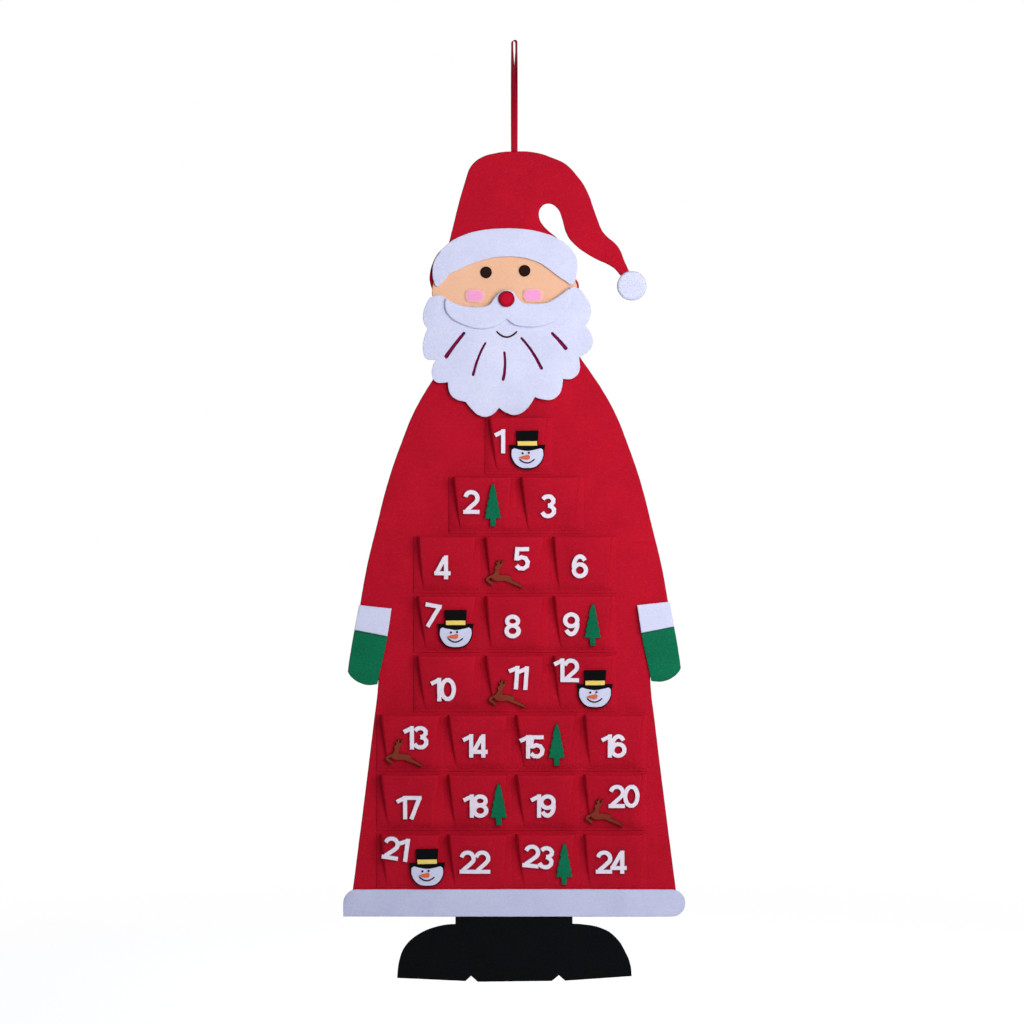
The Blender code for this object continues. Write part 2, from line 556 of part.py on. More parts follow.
def build_hanging_loop():
    """Ribbon band over the nail, edge-on there and turned flat at its foot, where it is sewn on."""
    foot_radius = (STRAND_GAP + RIBBON_THICKNESS) / 2
    top_radius = (LOOP_INNER_WIDTH + RIBBON_THICKNESS) / 2
    top_z = LOOP_DROP - LOOP_INNER_WIDTH / 2
    straight_z = LOOP_DROP - LOOP_STRAIGHT_TOP

    def open_share(z):
        """0 at the flat foot, and 1 where the loop is turned and wide enough for the nail."""
        return min(1, max(0, (z - LOOP_STRAIGHT_FOOT) / (straight_z - LOOP_STRAIGHT_FOOT)))

    strand = []
    for step in range(1, LOOP_STRAND_STEPS):
        z = top_z * step / LOOP_STRAND_STEPS
        strand.append((foot_radius + (top_radius - foot_radius) * open_share(z), z))
    foot = ellipse((0, 0), (foot_radius, foot_radius), (-180, 0), LOOP_ARC_STEPS)
    arch = ellipse((0, top_z), (top_radius, top_radius), (0, 180), LOOP_ARC_STEPS)
    route = foot + strand + arch + [(-x, z) for x, z in reversed(strand)]
    mesh = bpy.data.meshes.new("hanging_loop")
    sheet = bmesh.new()
    rear = [sheet.verts.new((x, RIBBON_WIDTH / 2, z)) for x, z in route]
    front = [sheet.verts.new((x, -RIBBON_WIDTH / 2, z)) for x, z in route]
    for index in range(len(route)):
        sheet.faces.new((front[index - 1], front[index], rear[index], rear[index - 1]))
    for vertex in sheet.verts:
        vertex.co.rotate(Matrix.Rotation(LOOP_TWIST * (1 - open_share(vertex.co.z)), 3, "Z"))
    sheet.to_mesh(mesh)
    sheet.free()
    loop = mesh_object("hanging_loop", mesh, RED_RIBBON)
    loop.location = (0, 0, HINGE_Z)
    wall = loop.modifiers.new("ribbon_thickness", "SOLIDIFY")
    wall.thickness = RIBBON_THICKNESS
    wall.offset = 0
    wall.use_even_offset = True


def build_hat():
    """Hat with its curled tail, and the ribbon's sewn end on its back."""
    left_x = -NAIL_ON_HAT_SHARE * HAT_WIDTH
    crown = plate_mesh("hat", [scaled(HAT_OUTLINE_SHARES, HAT_WIDTH, HAT_HEIGHT)], HAT_THICKNESS)
    reach = TAB_THICKNESS + HAT_THICKNESS / 2
    tab_outline = corners([
        (-RIBBON_WIDTH / 2, -TAB_DROP), (RIBBON_WIDTH / 2, -TAB_DROP),
        (RIBBON_WIDTH / 2, 0), (-RIBBON_WIDTH / 2, 0),
    ])
    tab = plate_mesh("ribbon_end", [tab_outline], reach)
    moved(tab, -left_x, HAT_HEIGHT, -reach / 2)
    hat = mesh_object("hat", united_mesh("hat", [crown, tab]), RED_FELT)
    stand_up(hat, (left_x, FACE_TOP_Z), FIRST_LAYER_Y, HAT_THICKNESS)
    across, up = POMPOM_PLACE_SHARES
    pompom_place = (left_x + across * HAT_WIDTH, FACE_TOP_Z + up * HAT_HEIGHT)
    felt_plate("hat_pompom", [disc_outline(POMPOM_DIAMETER, POMPOM_DIAMETER, 4 * HALF_TURN_STEPS)],
               pompom_place, POMPOM_LAYER_Y, POMPOM_THICKNESS, WHITE_FELT)


def build_head():
    """Face with eyes and cheeks, brim, beard, moustache and nose."""
    face_top = FACE_TOP_Z - EDGE_GAP
    face = plate_mesh("face", [scaled(FACE_OUTLINE_SHARES, FACE_WIDTH, FACE_HEIGHT)], FACE_THICKNESS)
    disc_height = FACE_THICKNESS / 2 + FACE_DISC_THICKNESS
    disc_lift = FACE_THICKNESS / 2 + FACE_DISC_THICKNESS - disc_height / 2
    discs = []
    for places, outline in (
            (EYE_PLACE_SHARES, disc_outline(EYE_DIAMETER, EYE_DIAMETER)),
            (CHEEK_PLACE_SHARES, pad_outline(CHEEK_WIDTH, CHEEK_HEIGHT))):
        for across, up in places:
            disc = plate_mesh("face_disc", [outline], disc_height)
            discs.append(moved(disc, across * FACE_WIDTH, up * FACE_HEIGHT, disc_lift))
    head = mesh_object("face", united_mesh("face", [face] + discs), PEACH_FELT)
    stand_up(head, (HEAD_SHIFT, face_top), FIRST_LAYER_Y, FACE_THICKNESS)

    felt_plate("hat_brim", [scaled(BRIM_OUTLINE_SHARES, BRIM_WIDTH, BRIM_HEIGHT)],
               (HEAD_SHIFT, FACE_TOP_Z), SECOND_LAYER_Y, TRIM_THICKNESS, WHITE_FELT)

    beard_outlines = [scaled(BEARD_OUTLINE_SHARES, BEARD_WIDTH, BEARD_HEIGHT)]
    for slit, width_share in zip(BEARD_SLIT_SHARES, SLIT_WIDTH_SHARES):
        path = [(x * BEARD_WIDTH, z * BEARD_HEIGHT) for x, z in slit]
        beard_outlines.append(slit_outline(path, SLIT_WIDTH * width_share))
    felt_plate("beard", beard_outlines, (BEARD_SHIFT, BEARD_TOP_Z), SECOND_LAYER_Y, TRIM_THICKNESS,
               WHITE_FELT)

    moustache_top = BEARD_TOP_Z + MOUSTACHE_TOP_SHARE * MOUSTACHE_HEIGHT
    felt_plate("moustache", [scaled(MOUSTACHE_OUTLINE_SHARES, MOUSTACHE_WIDTH, MOUSTACHE_HEIGHT)],
               (HEAD_SHIFT, moustache_top), THIRD_LAYER_Y, MOUSTACHE_THICKNESS, WHITE_FELT)
    across, up = NOSE_PLACE_SHARES
    nose_place = (HEAD_SHIFT + across * MOUSTACHE_WIDTH, moustache_top + up * MOUSTACHE_HEIGHT)
    felt_plate("nose", [disc_outline(NOSE_DIAMETER, NOSE_DIAMETER)],
               nose_place, FOURTH_LAYER_Y, NOSE_THICKNESS, RED_FELT)


def build_robe():
    """Body panel with the back of the head, hem band and boots."""
    side = [(x * PANEL_HALF_WIDTH, -z * PANEL_DROP, kind) for x, z, kind in ROBE_SIDE_SHARES]
    outline = list(reversed(side))
    for shares in (BACKING_RIGHT_SHARES, BACKING_LEFT_SHARES):
        for x, z, kind in shares:
            outline.append((HEAD_SHIFT + x * BACKING_WIDTH, z * FACE_HEIGHT, kind))
    outline += [(-x, z, kind) for x, z, kind in side]
    felt_plate("body_panel", [outline], (0, FACE_TOP_Z), PANEL_REAR_Y, PANEL_THICKNESS, RED_FELT)

    half_height = HEM_HEIGHT / 2
    end_x = HEM_WIDTH / 2 - half_height
    right_end = ellipse((end_x, 0), (half_height, half_height), (-90, 90))
    left_end = ellipse((-end_x, 0), (half_height, half_height), (90, 180))
    hem_outline = corners(right_end + left_end + [(-HEM_WIDTH / 2, -half_height)])
    felt_plate("hem_band", [hem_outline], (0, PANEL_BOTTOM_Z), FIRST_LAYER_Y, TRIM_THICKNESS, WHITE_FELT)

    boots_bottom = PANEL_BOTTOM_Z - EDGE_GAP - BOOTS_HEIGHT
    felt_plate("boots", [scaled(BOOTS_OUTLINE_SHARES, BOOTS_WIDTH, BOOTS_HEIGHT)],
               (0, boots_bottom), PANEL_REAR_Y, PANEL_THICKNESS, BLACK_FELT)


def build_hands():
    """Mittens on the robe's sides, each under a white cuff."""
    cuff = scaled(CUFF_OUTLINE_SHARES, CUFF_WIDTH, CUFF_HEIGHT)
    mitten = scaled(MITTEN_OUTLINE_SHARES, MITTEN_WIDTH, MITTEN_HEIGHT)
    hand_z = FACE_TOP_Z - HAND_DROP
    for side, x, z, cuff_outline, mitten_outline in (
            ("left", -HAND_REACH, hand_z, cuff, mitten),
            ("right", HAND_REACH, hand_z + RIGHT_HAND_RAISE, mirrored(cuff), mirrored(mitten))):
        felt_plate("mitten_" + side, [mitten_outline], (x, z), FIRST_LAYER_Y, MITTEN_THICKNESS, GREEN_FELT)
        felt_plate("cuff_" + side, [cuff_outline], (x, z), CUFF_LAYER_Y, TRIM_THICKNESS, WHITE_FELT)


def build_pocket_strip(name, count, centre_x, bottom_z):
    """One folded strip: flanges on the robe, and fronts whose pleats lie flat below and open at the mouth."""
    sheet = bmesh.new()

    def point(x, forward, z):
        return sheet.verts.new((x, -forward, z))

    first_left = -((count - 1) * POCKET_PITCH + POCKET_WIDTH) / 2
    start = first_left - END_FLANGE_WIDTH
    previous = (point(start, 0, POCKET_HEIGHT), point(start, 0, 0), point(start, 0, -SEAM_HEIGHT))
    for index in range(count):
        left = first_left + index * POCKET_PITCH
        right = left + POCKET_WIDTH
        left_top = point(left, 0, POCKET_HEIGHT)
        left_foot = point(left, 0, 0)
        left_seam = point(left, 0, -SEAM_HEIGHT)
        right_top = point(right, 0, POCKET_HEIGHT)
        right_foot = point(right, 0, 0)
        right_seam = point(right, 0, -SEAM_HEIGHT)
        left_pleat = point(left + PLEAT_WIDTH, 0, 0)
        right_pleat = point(right - PLEAT_WIDTH, 0, 0)
        mouth_left = point(left + MOUTH_INSET, POCKET_DEPTH, POCKET_HEIGHT)
        mouth_right = point(right - MOUTH_INSET, POCKET_DEPTH, POCKET_HEIGHT)
        sheet.faces.new((previous[1], left_foot, left_top, previous[0]))
        sheet.faces.new((previous[2], left_seam, left_foot, previous[1]))
        sheet.faces.new((left_foot, left_pleat, left_top))
        sheet.faces.new((left_top, left_pleat, mouth_left))
        sheet.faces.new((left_pleat, right_pleat, mouth_right, mouth_left))
        sheet.faces.new((right_top, mouth_right, right_pleat))
        sheet.faces.new((right_foot, right_top, right_pleat))
        sheet.faces.new((left_seam, right_seam, right_foot, right_pleat, left_pleat, left_foot))
        previous = (right_top, right_foot, right_seam)
    stop = -start
    end_top = point(stop, 0, POCKET_HEIGHT)
    end_foot = point(stop, 0, 0)
    end_seam = point(stop, 0, -SEAM_HEIGHT)
    sheet.faces.new((previous[1], end_foot, end_top, previous[0]))
    sheet.faces.new((previous[2], end_seam, end_foot, previous[1]))
    mesh = bpy.data.meshes.new(name)
    sheet.to_mesh(mesh)
    sheet.free()
    strip = mesh_object(name, mesh, RED_FELT)
    strip.location = (centre_x, FIRST_LAYER_Y, bottom_z)
    wall = strip.modifiers.new("felt_thickness", "SOLIDIFY")
    wall.solidify_mode = "NON_MANIFOLD"
    wall.nonmanifold_thickness_mode = "CONSTRAINTS"
    wall.thickness = POCKET_THICKNESS
    wall.offset = 1


def digit_paths(digit, width, height, stroke):
    """Centre lines of one numeral's strokes, from its lower left corner, and if each is closed."""
    low = stroke / 2
    left = stroke / 2
    right = width - stroke / 2
    high = height - stroke / 2
    middle_x = width / 2
    reach = (right - left) / 2
    waist = height * WAIST_SHARE
    bowl_top = height * LOWER_BOWL_SHARE
    bowl_centre = (middle_x, (bowl_top + low) / 2)
    bowl_radii = (reach, (bowl_top - low) / 2)
    upper_centre = (middle_x, (waist + high) / 2)
    upper_radii = (reach * UPPER_BOWL_SHARE, (high - waist) / 2)
    lower_centre = (middle_x, (waist + low) / 2)
    lower_radii = (reach, (waist - low) / 2)
    if digit == "0":
        return [(ring_points((middle_x, height / 2), (reach, (high - low) / 2)), True)]
    if digit == "1":
        across, up = ONE_FLAG_SHARES
        flag = [(width * across, height * up), (right, high)]
        return [([(right, 0), (right, height)], False), (flag, False)]
    if digit == "2":
        bow = ellipse((middle_x, high - reach), (reach, reach), TWO_BOW_TURNS)
        return [(bow + [(left + stroke / 4, low + stroke / 4)], False), ([(0, low), (width, low)], False)]
    if digit == "3":
        return [(ellipse(upper_centre, upper_radii, THREE_UPPER_TURNS), False),
                (ellipse(lower_centre, lower_radii, THREE_LOWER_TURNS), False)]
    if digit == "4":
        bar = height * FOUR_BAR_SHARE
        stem = width * FOUR_STEM_SHARE
        return [([(stem - stroke / 4, high), (left, bar)], False), ([(0, bar), (width, bar)], False),
                ([(stem, 0), (stem, height)], False)]
    if digit == "5":
        top_bar = [(width * share, high) for share in FIVE_TOP_SHARES]
        neck = [(width * across, height * up) for across, up in FIVE_NECK_SHARES]
        return [(top_bar, False), (neck, False), (ellipse(bowl_centre, bowl_radii, FIVE_BOWL_TURNS), False)]
    if digit == "6":
        back = ellipse((middle_x, height / 2), (reach, (high - low) / 2), SIX_BACK_TURNS)
        return [(ring_points(bowl_centre, bowl_radii), True), (back, False)]
    if digit == "7":
        return [([(0, high), (width, high)], False), ([(right, high), (width * SEVEN_FOOT_SHARE, 0)], False)]
    if digit == "8":
        return [(ring_points(upper_centre, upper_radii), True),
                (ring_points(lower_centre, lower_radii), True)]
    turned = []
    for path, closed in digit_paths("6", width, height, stroke):
        turned.append(([(width - x, height - z) for x, z in path], closed))
    return turned


def number_mesh(number):
    """Plain numeral as one felt plate about its own centre."""
    digits = str(number)
    widths = [ONE_WIDTH if digit == "1" else DIGIT_WIDTH for digit in digits]
    total = sum(widths) - DIGIT_OVERLAP * (len(digits) - 1)
    strokes = []
    left = -total / 2
    for digit, width in zip(digits, widths):
        for path, closed in digit_paths(digit, width, NUMBER_HEIGHT, NUMBER_STROKE):
            left_edge, right_edge = stroke_edges(path, NUMBER_STROKE, closed)
            if closed:
                outlines = [corners(left_edge), corners(right_edge)]
            else:
                outlines = [corners(left_edge + right_edge[::-1])]
            stroke = plate_mesh("stroke", outlines, NUMBER_THICKNESS)
            strokes.append(moved(stroke, left, -NUMBER_HEIGHT / 2, 0))
        left += width - DIGIT_OVERLAP
    return united_mesh("number", strokes)


def on_front(part, holder, place, thickness):
    """Lays a plate on a pocket's slanted front."""
    part.parent = holder
    part.location = (place[0] * POCKET_WIDTH, place[1] * FRONT_LENGTH, LAYER_GAP + thickness / 2)


def centred(points, height):
    """Moves an outline that stands on zero so that its middle is at zero."""
    return [(x, z - height / 2, kind) for x, z, kind in points]


def build_ornament(pocket, holder):
    """Snowman, fir tree or reindeer, where a pocket has one."""
    for name, places, shares, width, height, material, is_half in (
            ("snowman", SNOWMAN_PLACE_SHARES, SNOWMAN_HALF_SHARES, SNOWMAN_WIDTH, SNOWMAN_HEIGHT,
             BLACK_FELT, True),
            ("tree", TREE_PLACE_SHARES, TREE_HALF_SHARES, TREE_WIDTH, TREE_HEIGHT,
             GREEN_FELT, True),
            ("reindeer", REINDEER_PLACE_SHARES, REINDEER_OUTLINE_SHARES, REINDEER_WIDTH, REINDEER_HEIGHT,
             BROWN_FELT, False)):
        if pocket not in places:
            continue
        points = centred(scaled(shares, width, height), height)
        outline = both_halves(points) if is_half else points
        ornament = felt_plate("%s_%02d" % (name, pocket), [outline], (0, 0), 0, ORNAMENT_THICKNESS, material,
                              ORNAMENT_CURVE_STEPS)
        ornament.rotation_euler = (0, 0, 0)
        on_front(ornament, holder, places[pocket], ORNAMENT_THICKNESS)


def build_pockets():
    """Eight strips of pockets, each pocket with its number and some with an ornament."""
    pocket = 0
    for row, count in enumerate(POCKETS_IN_ROWS):
        bottom_z = LOWEST_POCKET_Z + (ROW_COUNT - 1 - row) * ROW_PITCH
        centre_x = ROW_SHIFT_SHARES[row] * POCKET_WIDTH
        build_pocket_strip("pocket_strip_%d" % (row + 1), count, centre_x, bottom_z)
        for column in range(count):
            pocket += 1
            x = centre_x + (column - (count - 1) / 2) * POCKET_PITCH
            holder = bpy.data.objects.new("pocket_front_%02d" % pocket, None)
            outward = Vector((0, -math.cos(FRONT_TILT), -math.sin(FRONT_TILT)))
            holder.location = Vector((x, FIRST_LAYER_Y, bottom_z)) + outward * POCKET_THICKNESS
            holder.rotation_euler = (math.pi / 2 + FRONT_TILT, 0, 0)
            holder.empty_display_size = POCKET_DEPTH
            parts.objects.link(holder)
            number = mesh_object("number_%02d" % pocket, number_mesh(pocket), WHITE_FELT)
            across, up, turn = NUMBER_PLACE_SHARES[pocket]
            on_front(number, holder, (across, up), NUMBER_THICKNESS)
            number.rotation_euler = (0, 0, math.radians(turn))
            build_ornament(pocket, holder)


build_hanging_loop()
build_hat()
build_head()
build_robe()
build_hands()
build_pockets()
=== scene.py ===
"""Looks of a felt advent calendar: a tall bearded winter folk figure of cut felt, with 24 pockets."""
import math
import random

import bmesh
import bpy
from mathutils import Matrix, Vector, noise
from mathutils.geometry import interpolate_bezier


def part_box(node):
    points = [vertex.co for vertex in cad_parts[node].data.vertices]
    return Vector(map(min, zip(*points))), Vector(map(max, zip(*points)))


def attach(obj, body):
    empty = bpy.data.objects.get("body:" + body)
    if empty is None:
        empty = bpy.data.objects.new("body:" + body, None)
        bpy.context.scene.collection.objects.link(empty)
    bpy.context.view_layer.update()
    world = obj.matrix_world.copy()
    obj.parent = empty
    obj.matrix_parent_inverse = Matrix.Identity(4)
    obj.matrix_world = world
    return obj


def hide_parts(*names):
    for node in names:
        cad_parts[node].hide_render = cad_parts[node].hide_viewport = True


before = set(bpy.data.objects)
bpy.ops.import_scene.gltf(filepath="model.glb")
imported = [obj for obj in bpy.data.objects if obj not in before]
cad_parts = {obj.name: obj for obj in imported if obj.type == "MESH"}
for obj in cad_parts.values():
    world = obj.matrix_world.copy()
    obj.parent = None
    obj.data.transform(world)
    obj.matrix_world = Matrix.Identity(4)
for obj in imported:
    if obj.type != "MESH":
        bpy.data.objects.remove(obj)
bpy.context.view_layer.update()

# The camera
# A long lens stands straight in front of the figure at half its height, so that the flat felt shows almost
# without perspective. One picture element of the photograph is 1.2 mm on the felt.
PHOTO_PIXELS = 1024
METRES_PER_PIXEL = 0.0012
NAIL_PIXEL = (514.3, 40)
LENS = 90
SENSOR = 36
FELT_MIDDLE_Y = -0.005


def new_object(name, data):
    """A new object in the scene."""
    made = bpy.data.objects.new(name, data)
    bpy.context.collection.objects.link(made)
    return made


camera = new_object("camera", bpy.data.cameras.new("camera"))
camera.data.lens = LENS
camera.data.sensor_width = SENSOR
camera.location = (
    (PHOTO_PIXELS / 2 - NAIL_PIXEL[0]) * METRES_PER_PIXEL,
    FELT_MIDDLE_Y - PHOTO_PIXELS * METRES_PER_PIXEL * LENS / SENSOR,
    (NAIL_PIXEL[1] - PHOTO_PIXELS / 2) * METRES_PER_PIXEL,
)
camera.rotation_euler = (math.radians(90), 0, 0)
bpy.context.scene.camera = camera
bpy.context.scene.view_settings.view_transform = "Standard"

# The studio
# A photographer's white room: a soft box close by on the right, a weak one on the left, and light from all
# round. The paper floor keeps a faint shadow and fades into the white behind the figure.
PURE_WHITE = "#FFFFFF"
ROOM_LIGHT = "#E9ECF6"
ROOM_STRENGTH = 0.28
KEY_PLACE = (0.6, -0.94, -0.27)
KEY_SIZE = 1.0
KEY_POWER = 13.4
FILL_PLACE = (-1.7, -1.8, -0.3)
FILL_SIZE = 1.8
FILL_POWER = 1.5
BACK_PLACE = (0.5, 2.2, 0.5)
BACK_POWER = 16
LIT_POINT = (0, 0, -0.55)
FLOOR_Z = -1.45
FLOOR_RADIUS = 3.2
FLOOR_RINGS = 24
FLOOR_SPOKES = 64
FLOOR_COLOUR = "#F2F3F6"
FLOOR_GLOW = 0.62
FADE_START = 1.2
SRGB_KNEE = 0.04045
SRGB_SLOPE = 12.92
SRGB_OFFSET = 0.055
SRGB_POWER = 2.4


def linear(hex_colour):
    """A colour written as sRGB hex, in the linear numbers that Blender uses."""
    shares = [int(hex_colour[start:start + 2], 16) / 255 for start in (1, 3, 5)]
    return [s / SRGB_SLOPE if s <= SRGB_KNEE else ((s + SRGB_OFFSET) / (1 + SRGB_OFFSET)) ** SRGB_POWER
            for s in shares] + [1]


def empty_tree(owner):
    """The node tree of a new material or world, without any node."""
    owner.use_nodes = True
    owner.node_tree.nodes.clear()
    return owner.node_tree


def add(tree, kind, links=(), **settings):
    """Adds one node: its settings by name, and its inputs as a dictionary of values, of sockets to link, or
    of nodes whose first output is linked."""
    node = tree.nodes.new("ShaderNode" + kind)
    for name, value in settings.items():
        setattr(node, name, value)
    for name, value in dict(links).items():
        if isinstance(value, bpy.types.Node):
            value = value.outputs[0]
        if isinstance(value, bpy.types.NodeSocket):
            tree.links.new(value, node.inputs[name])
        else:
            node.inputs[name].default_value = value
    return node


def bridge(shape, rings):
    """Adds the faces between each ring of points and the next."""
    for before, after in zip(rings, rings[1:]):
        for index in range(len(before)):
            shape.faces.new((before[index - 1], before[index], after[index], after[index - 1]))


def mesh_of(name, shape):
    """The mesh of a finished shape."""
    mesh = bpy.data.meshes.new(name)
    shape.to_mesh(mesh)
    shape.free()
    return mesh


def soft_lamp(name, place, size, power):
    """A square soft box that looks at the middle of the figure, and stays out of the picture itself."""
    lamp = new_object(name, bpy.data.lights.new(name, "AREA"))
    lamp.data.size = size
    lamp.data.energy = power
    lamp.location = place
    lamp.rotation_euler = (Vector(LIT_POINT) - Vector(place)).to_track_quat("-Z", "Y").to_euler()
    lamp.visible_camera = False


def white_to_the_eye(tree):
    """1 where the camera, a mirror or glass sees the background itself, and 0 where light only bounces."""
    rays = add(tree, "LightPath").outputs
    seen = add(tree, "Math", {0: rays["Is Camera Ray"], 1: rays["Is Glossy Ray"]}, operation="MAXIMUM")
    return add(tree, "Math", {0: seen, 1: rays["Is Transmission Ray"]}, operation="MAXIMUM")


soft_lamp("key_lamp", KEY_PLACE, KEY_SIZE, KEY_POWER)
soft_lamp("fill_lamp", FILL_PLACE, FILL_SIZE, FILL_POWER)
soft_lamp("back_lamp", BACK_PLACE, FILL_SIZE, BACK_POWER)
room = bpy.data.worlds.new("white_room")
room_tree = empty_tree(room)
room_light = add(room_tree, "Background", {"Color": linear(ROOM_LIGHT), "Strength": ROOM_STRENGTH})
room_white = add(room_tree, "Background", {"Color": linear(PURE_WHITE), "Strength": 1})
room_both = add(room_tree, "MixShader", {0: white_to_the_eye(room_tree), 1: room_light, 2: room_white})
add(room_tree, "OutputWorld", {"Surface": room_both})
bpy.context.scene.world = room

paper = bpy.data.materials.new("white_paper_floor")
paper_tree = empty_tree(paper)
paper_matt = add(paper_tree, "BsdfDiffuse", {"Color": linear(FLOOR_COLOUR)})
paper_glow = add(paper_tree, "Emission", {"Color": linear(PURE_WHITE), "Strength": FLOOR_GLOW})
paper_lit = add(paper_tree, "AddShader", {0: paper_matt, 1: paper_glow})
paper_white = add(paper_tree, "Emission", {"Color": linear(PURE_WHITE), "Strength": 1})
paper_place = add(paper_tree, "TexCoord").outputs["Object"]
paper_reach = add(paper_tree, "VectorMath", {0: paper_place}, operation="LENGTH").outputs["Value"]
paper_fade = add(paper_tree, "MapRange", {
    "Value": paper_reach, "From Min": FADE_START, "From Max": FLOOR_RADIUS},
    interpolation_type="SMOOTHSTEP")
paper_seen = add(paper_tree, "MixShader", {0: paper_fade, 1: paper_lit, 2: paper_white})
paper_both = add(paper_tree, "MixShader", {0: white_to_the_eye(paper_tree), 1: paper_matt, 2: paper_seen})
add(paper_tree, "OutputMaterial", {"Surface": paper_both})

disc = bmesh.new()
disc_rings = []
turns = [2 * math.pi * spoke / FLOOR_SPOKES for spoke in range(FLOOR_SPOKES)]
for ring in range(1, FLOOR_RINGS + 1):
    reach = FLOOR_RADIUS * ring / FLOOR_RINGS
    disc_rings.append([disc.verts.new((reach * math.cos(t), reach * math.sin(t), 0)) for t in turns])
disc_middle = disc.verts.new((0, 0, 0))
for spoke in range(FLOOR_SPOKES):
    disc.faces.new((disc_middle, disc_rings[0][spoke - 1], disc_rings[0][spoke]))
bridge(disc, disc_rings[::-1])
floor = new_object("floor", mesh_of("floor", disc))
floor.location = (0, 0, FLOOR_Z)
floor.data.materials.append(paper)

# The robe's panel
# The large red piece that carries everything else: 3 mm polyester craft felt, needle-punched and cut with
# shears, with the back of the head in one piece. It hangs from the hat, waves a little and has an old fold.
WELD = 1e-6
FLAT_SHARE = 0.9
LEVEL_SLACK = 0.0001
SHORTEST_CUT = 0.0004
SMALLEST_HOLE = 1e-6
CORNER_TURN = math.radians(38)
CURVE_STEP = 0.002
MOST_STEPS = 8
SHARPEST_MITRE = 0.5
EDGE_STEPS = 2
CUT_EDGE = 0.0009
SHEAR_WANDER = 0.00018
SHEAR_SPACING = 0.006
SHEAR_SEED = 3
WAVE_WIDTH = 0.15
WAVE_HEIGHT = 0.24
WAVE_SLICE = 2.7
WAVE_DEPTH = 0.0022
WAVE_START_Z = -0.14
WAVE_FULL_Z = -0.30
FOLD_Z = -0.601
FOLD_START_X = 0.11
FOLD_FULL_X = 0.16
FOLD_WIDTH = 0.003
FOLD_DEPTH = 0.0010
FOLD_LINE_SHARES = (-2, -1.5, -1, -0.5, 0, 0.5, 1, 1.5, 2)
FELT_CELL = 0.005
PANEL_CELL = 0.008
FACE_WEIGHT = 90
UPRIGHT = Matrix.Rotation(math.radians(90), 4, "X")

FIBRE_LENGTH = 0.007
FIBRE_WIDTH = 0.0009
FIBRE_DIRECTIONS = (25, -50, 80)
FIBRE_DETAIL = 1.5
CLUMP_WIDTH = 0.0026
CLUMP_DETAIL = 3
CLUMP_ROUGHNESS = 0.6
PATCH_WIDTH = 0.045
PATCH_DETAIL = 2
STRAND_RANGE = (0.56, 0.72)
STRAND_PALENESS = 0.26
CLUMP_RANGE = (0.62, 1.3)
FELT_RELIEF = 0.0006
RELIEF_STRENGTH = 0.4
FELT_IOR = 1.45
FELT_GLOSS = 0.06
FELT_ROUGHNESS = 0.93
FELT_SHEEN = 0.09
FELT_SHEEN_ROUGHNESS = 0.55
RED_SHADES = ("#C3132B", "#B00F26", "#D02E40", "#6E0A1E")
NOISE_MIDDLE = (0.5, 0.5, 0.5)
MIX_INPUTS = (6, 7)
MIX_OUTPUT = 2


def smooth_share(value, start, full):
    """0 at start and 1 at full, with a soft run between them."""
    share = min(1, max(0, (value - start) / (full - start)))
    return share * share * (3 - 2 * share)


def drape(x, z):
    """How far the hanging felt stands off the wall at a place of the figure."""
    wave = (1 + noise.noise(Vector((x / WAVE_WIDTH, z / WAVE_HEIGHT, WAVE_SLICE)))) / 2
    ridge = math.exp(-((z - FOLD_Z) / FOLD_WIDTH) ** 2) * smooth_share(x, FOLD_START_X, FOLD_FULL_X)
    return smooth_share(z, WAVE_START_Z, WAVE_FULL_Z) * WAVE_DEPTH * wave + FOLD_DEPTH * ridge


def area_of(line):
    """Area inside a closed line, and less than zero where it runs clockwise."""
    return sum(a.x * b.y - b.x * a.y for a, b in zip(line, line[1:] + line[:1])) / 2


def reach_of(points, axis):
    """Lowest and highest place of points along an axis."""
    marks = [point[axis] for point in points]
    return min(marks), max(marks)


def cut_of(node, place=UPRIGHT, side=1):
    """Outlines of a flat node in the plane of a place, its flat area, and its lowest and highest point.
    Side -1 takes the outlines of its rear."""
    felt = bmesh.new()
    felt.from_mesh(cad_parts[node].data)
    felt.transform(place.inverted())
    bmesh.ops.remove_doubles(felt, verts=felt.verts, dist=WELD)
    felt.edges.index_update()
    low, high = reach_of([vertex.co for vertex in felt.verts], 2)
    level = high if side > 0 else low
    faces = [face for face in felt.faces if face.normal.z * side > FLAT_SHARE
             and abs(face.calc_center_median().z - level) < LEVEL_SLACK]
    area = sum(face.calc_area() for face in faces)
    uses = {}
    for face in faces:
        for edge in face.edges:
            uses[edge.index] = uses.get(edge.index, 0) + 1
    felt.edges.ensure_lookup_table()
    rim = sorted(index for index, count in uses.items() if count == 1)
    outlines = []
    while rim:
        first, here = felt.edges[rim.pop(0)].verts
        outline = [first.co.to_2d()]
        while here is not first:
            outline.append(here.co.to_2d())
            step = min(near.index for near in here.link_edges if near.index in rim)
            rim.remove(step)
            here = felt.edges[step].other_vert(here)
        outline = [here for here, last in zip(outline, outline[-1:] + outline)
                   if (here - last).length > SHORTEST_CUT]
        if abs(area_of(outline)) > SMALLEST_HOLE:
            outlines.append(outline)
    felt.free()
    return outlines, area, low, high


def is_inside(point, line):
    """Whether a closed line goes round a point."""
    inside = False
    for a, b in zip(line, line[1:] + line[:1]):
        if (a.y > point.y) != (b.y > point.y):
            if point.x < a.x + (b.x - a.x) * (point.y - a.y) / (b.y - a.y):
                inside = not inside
    return inside


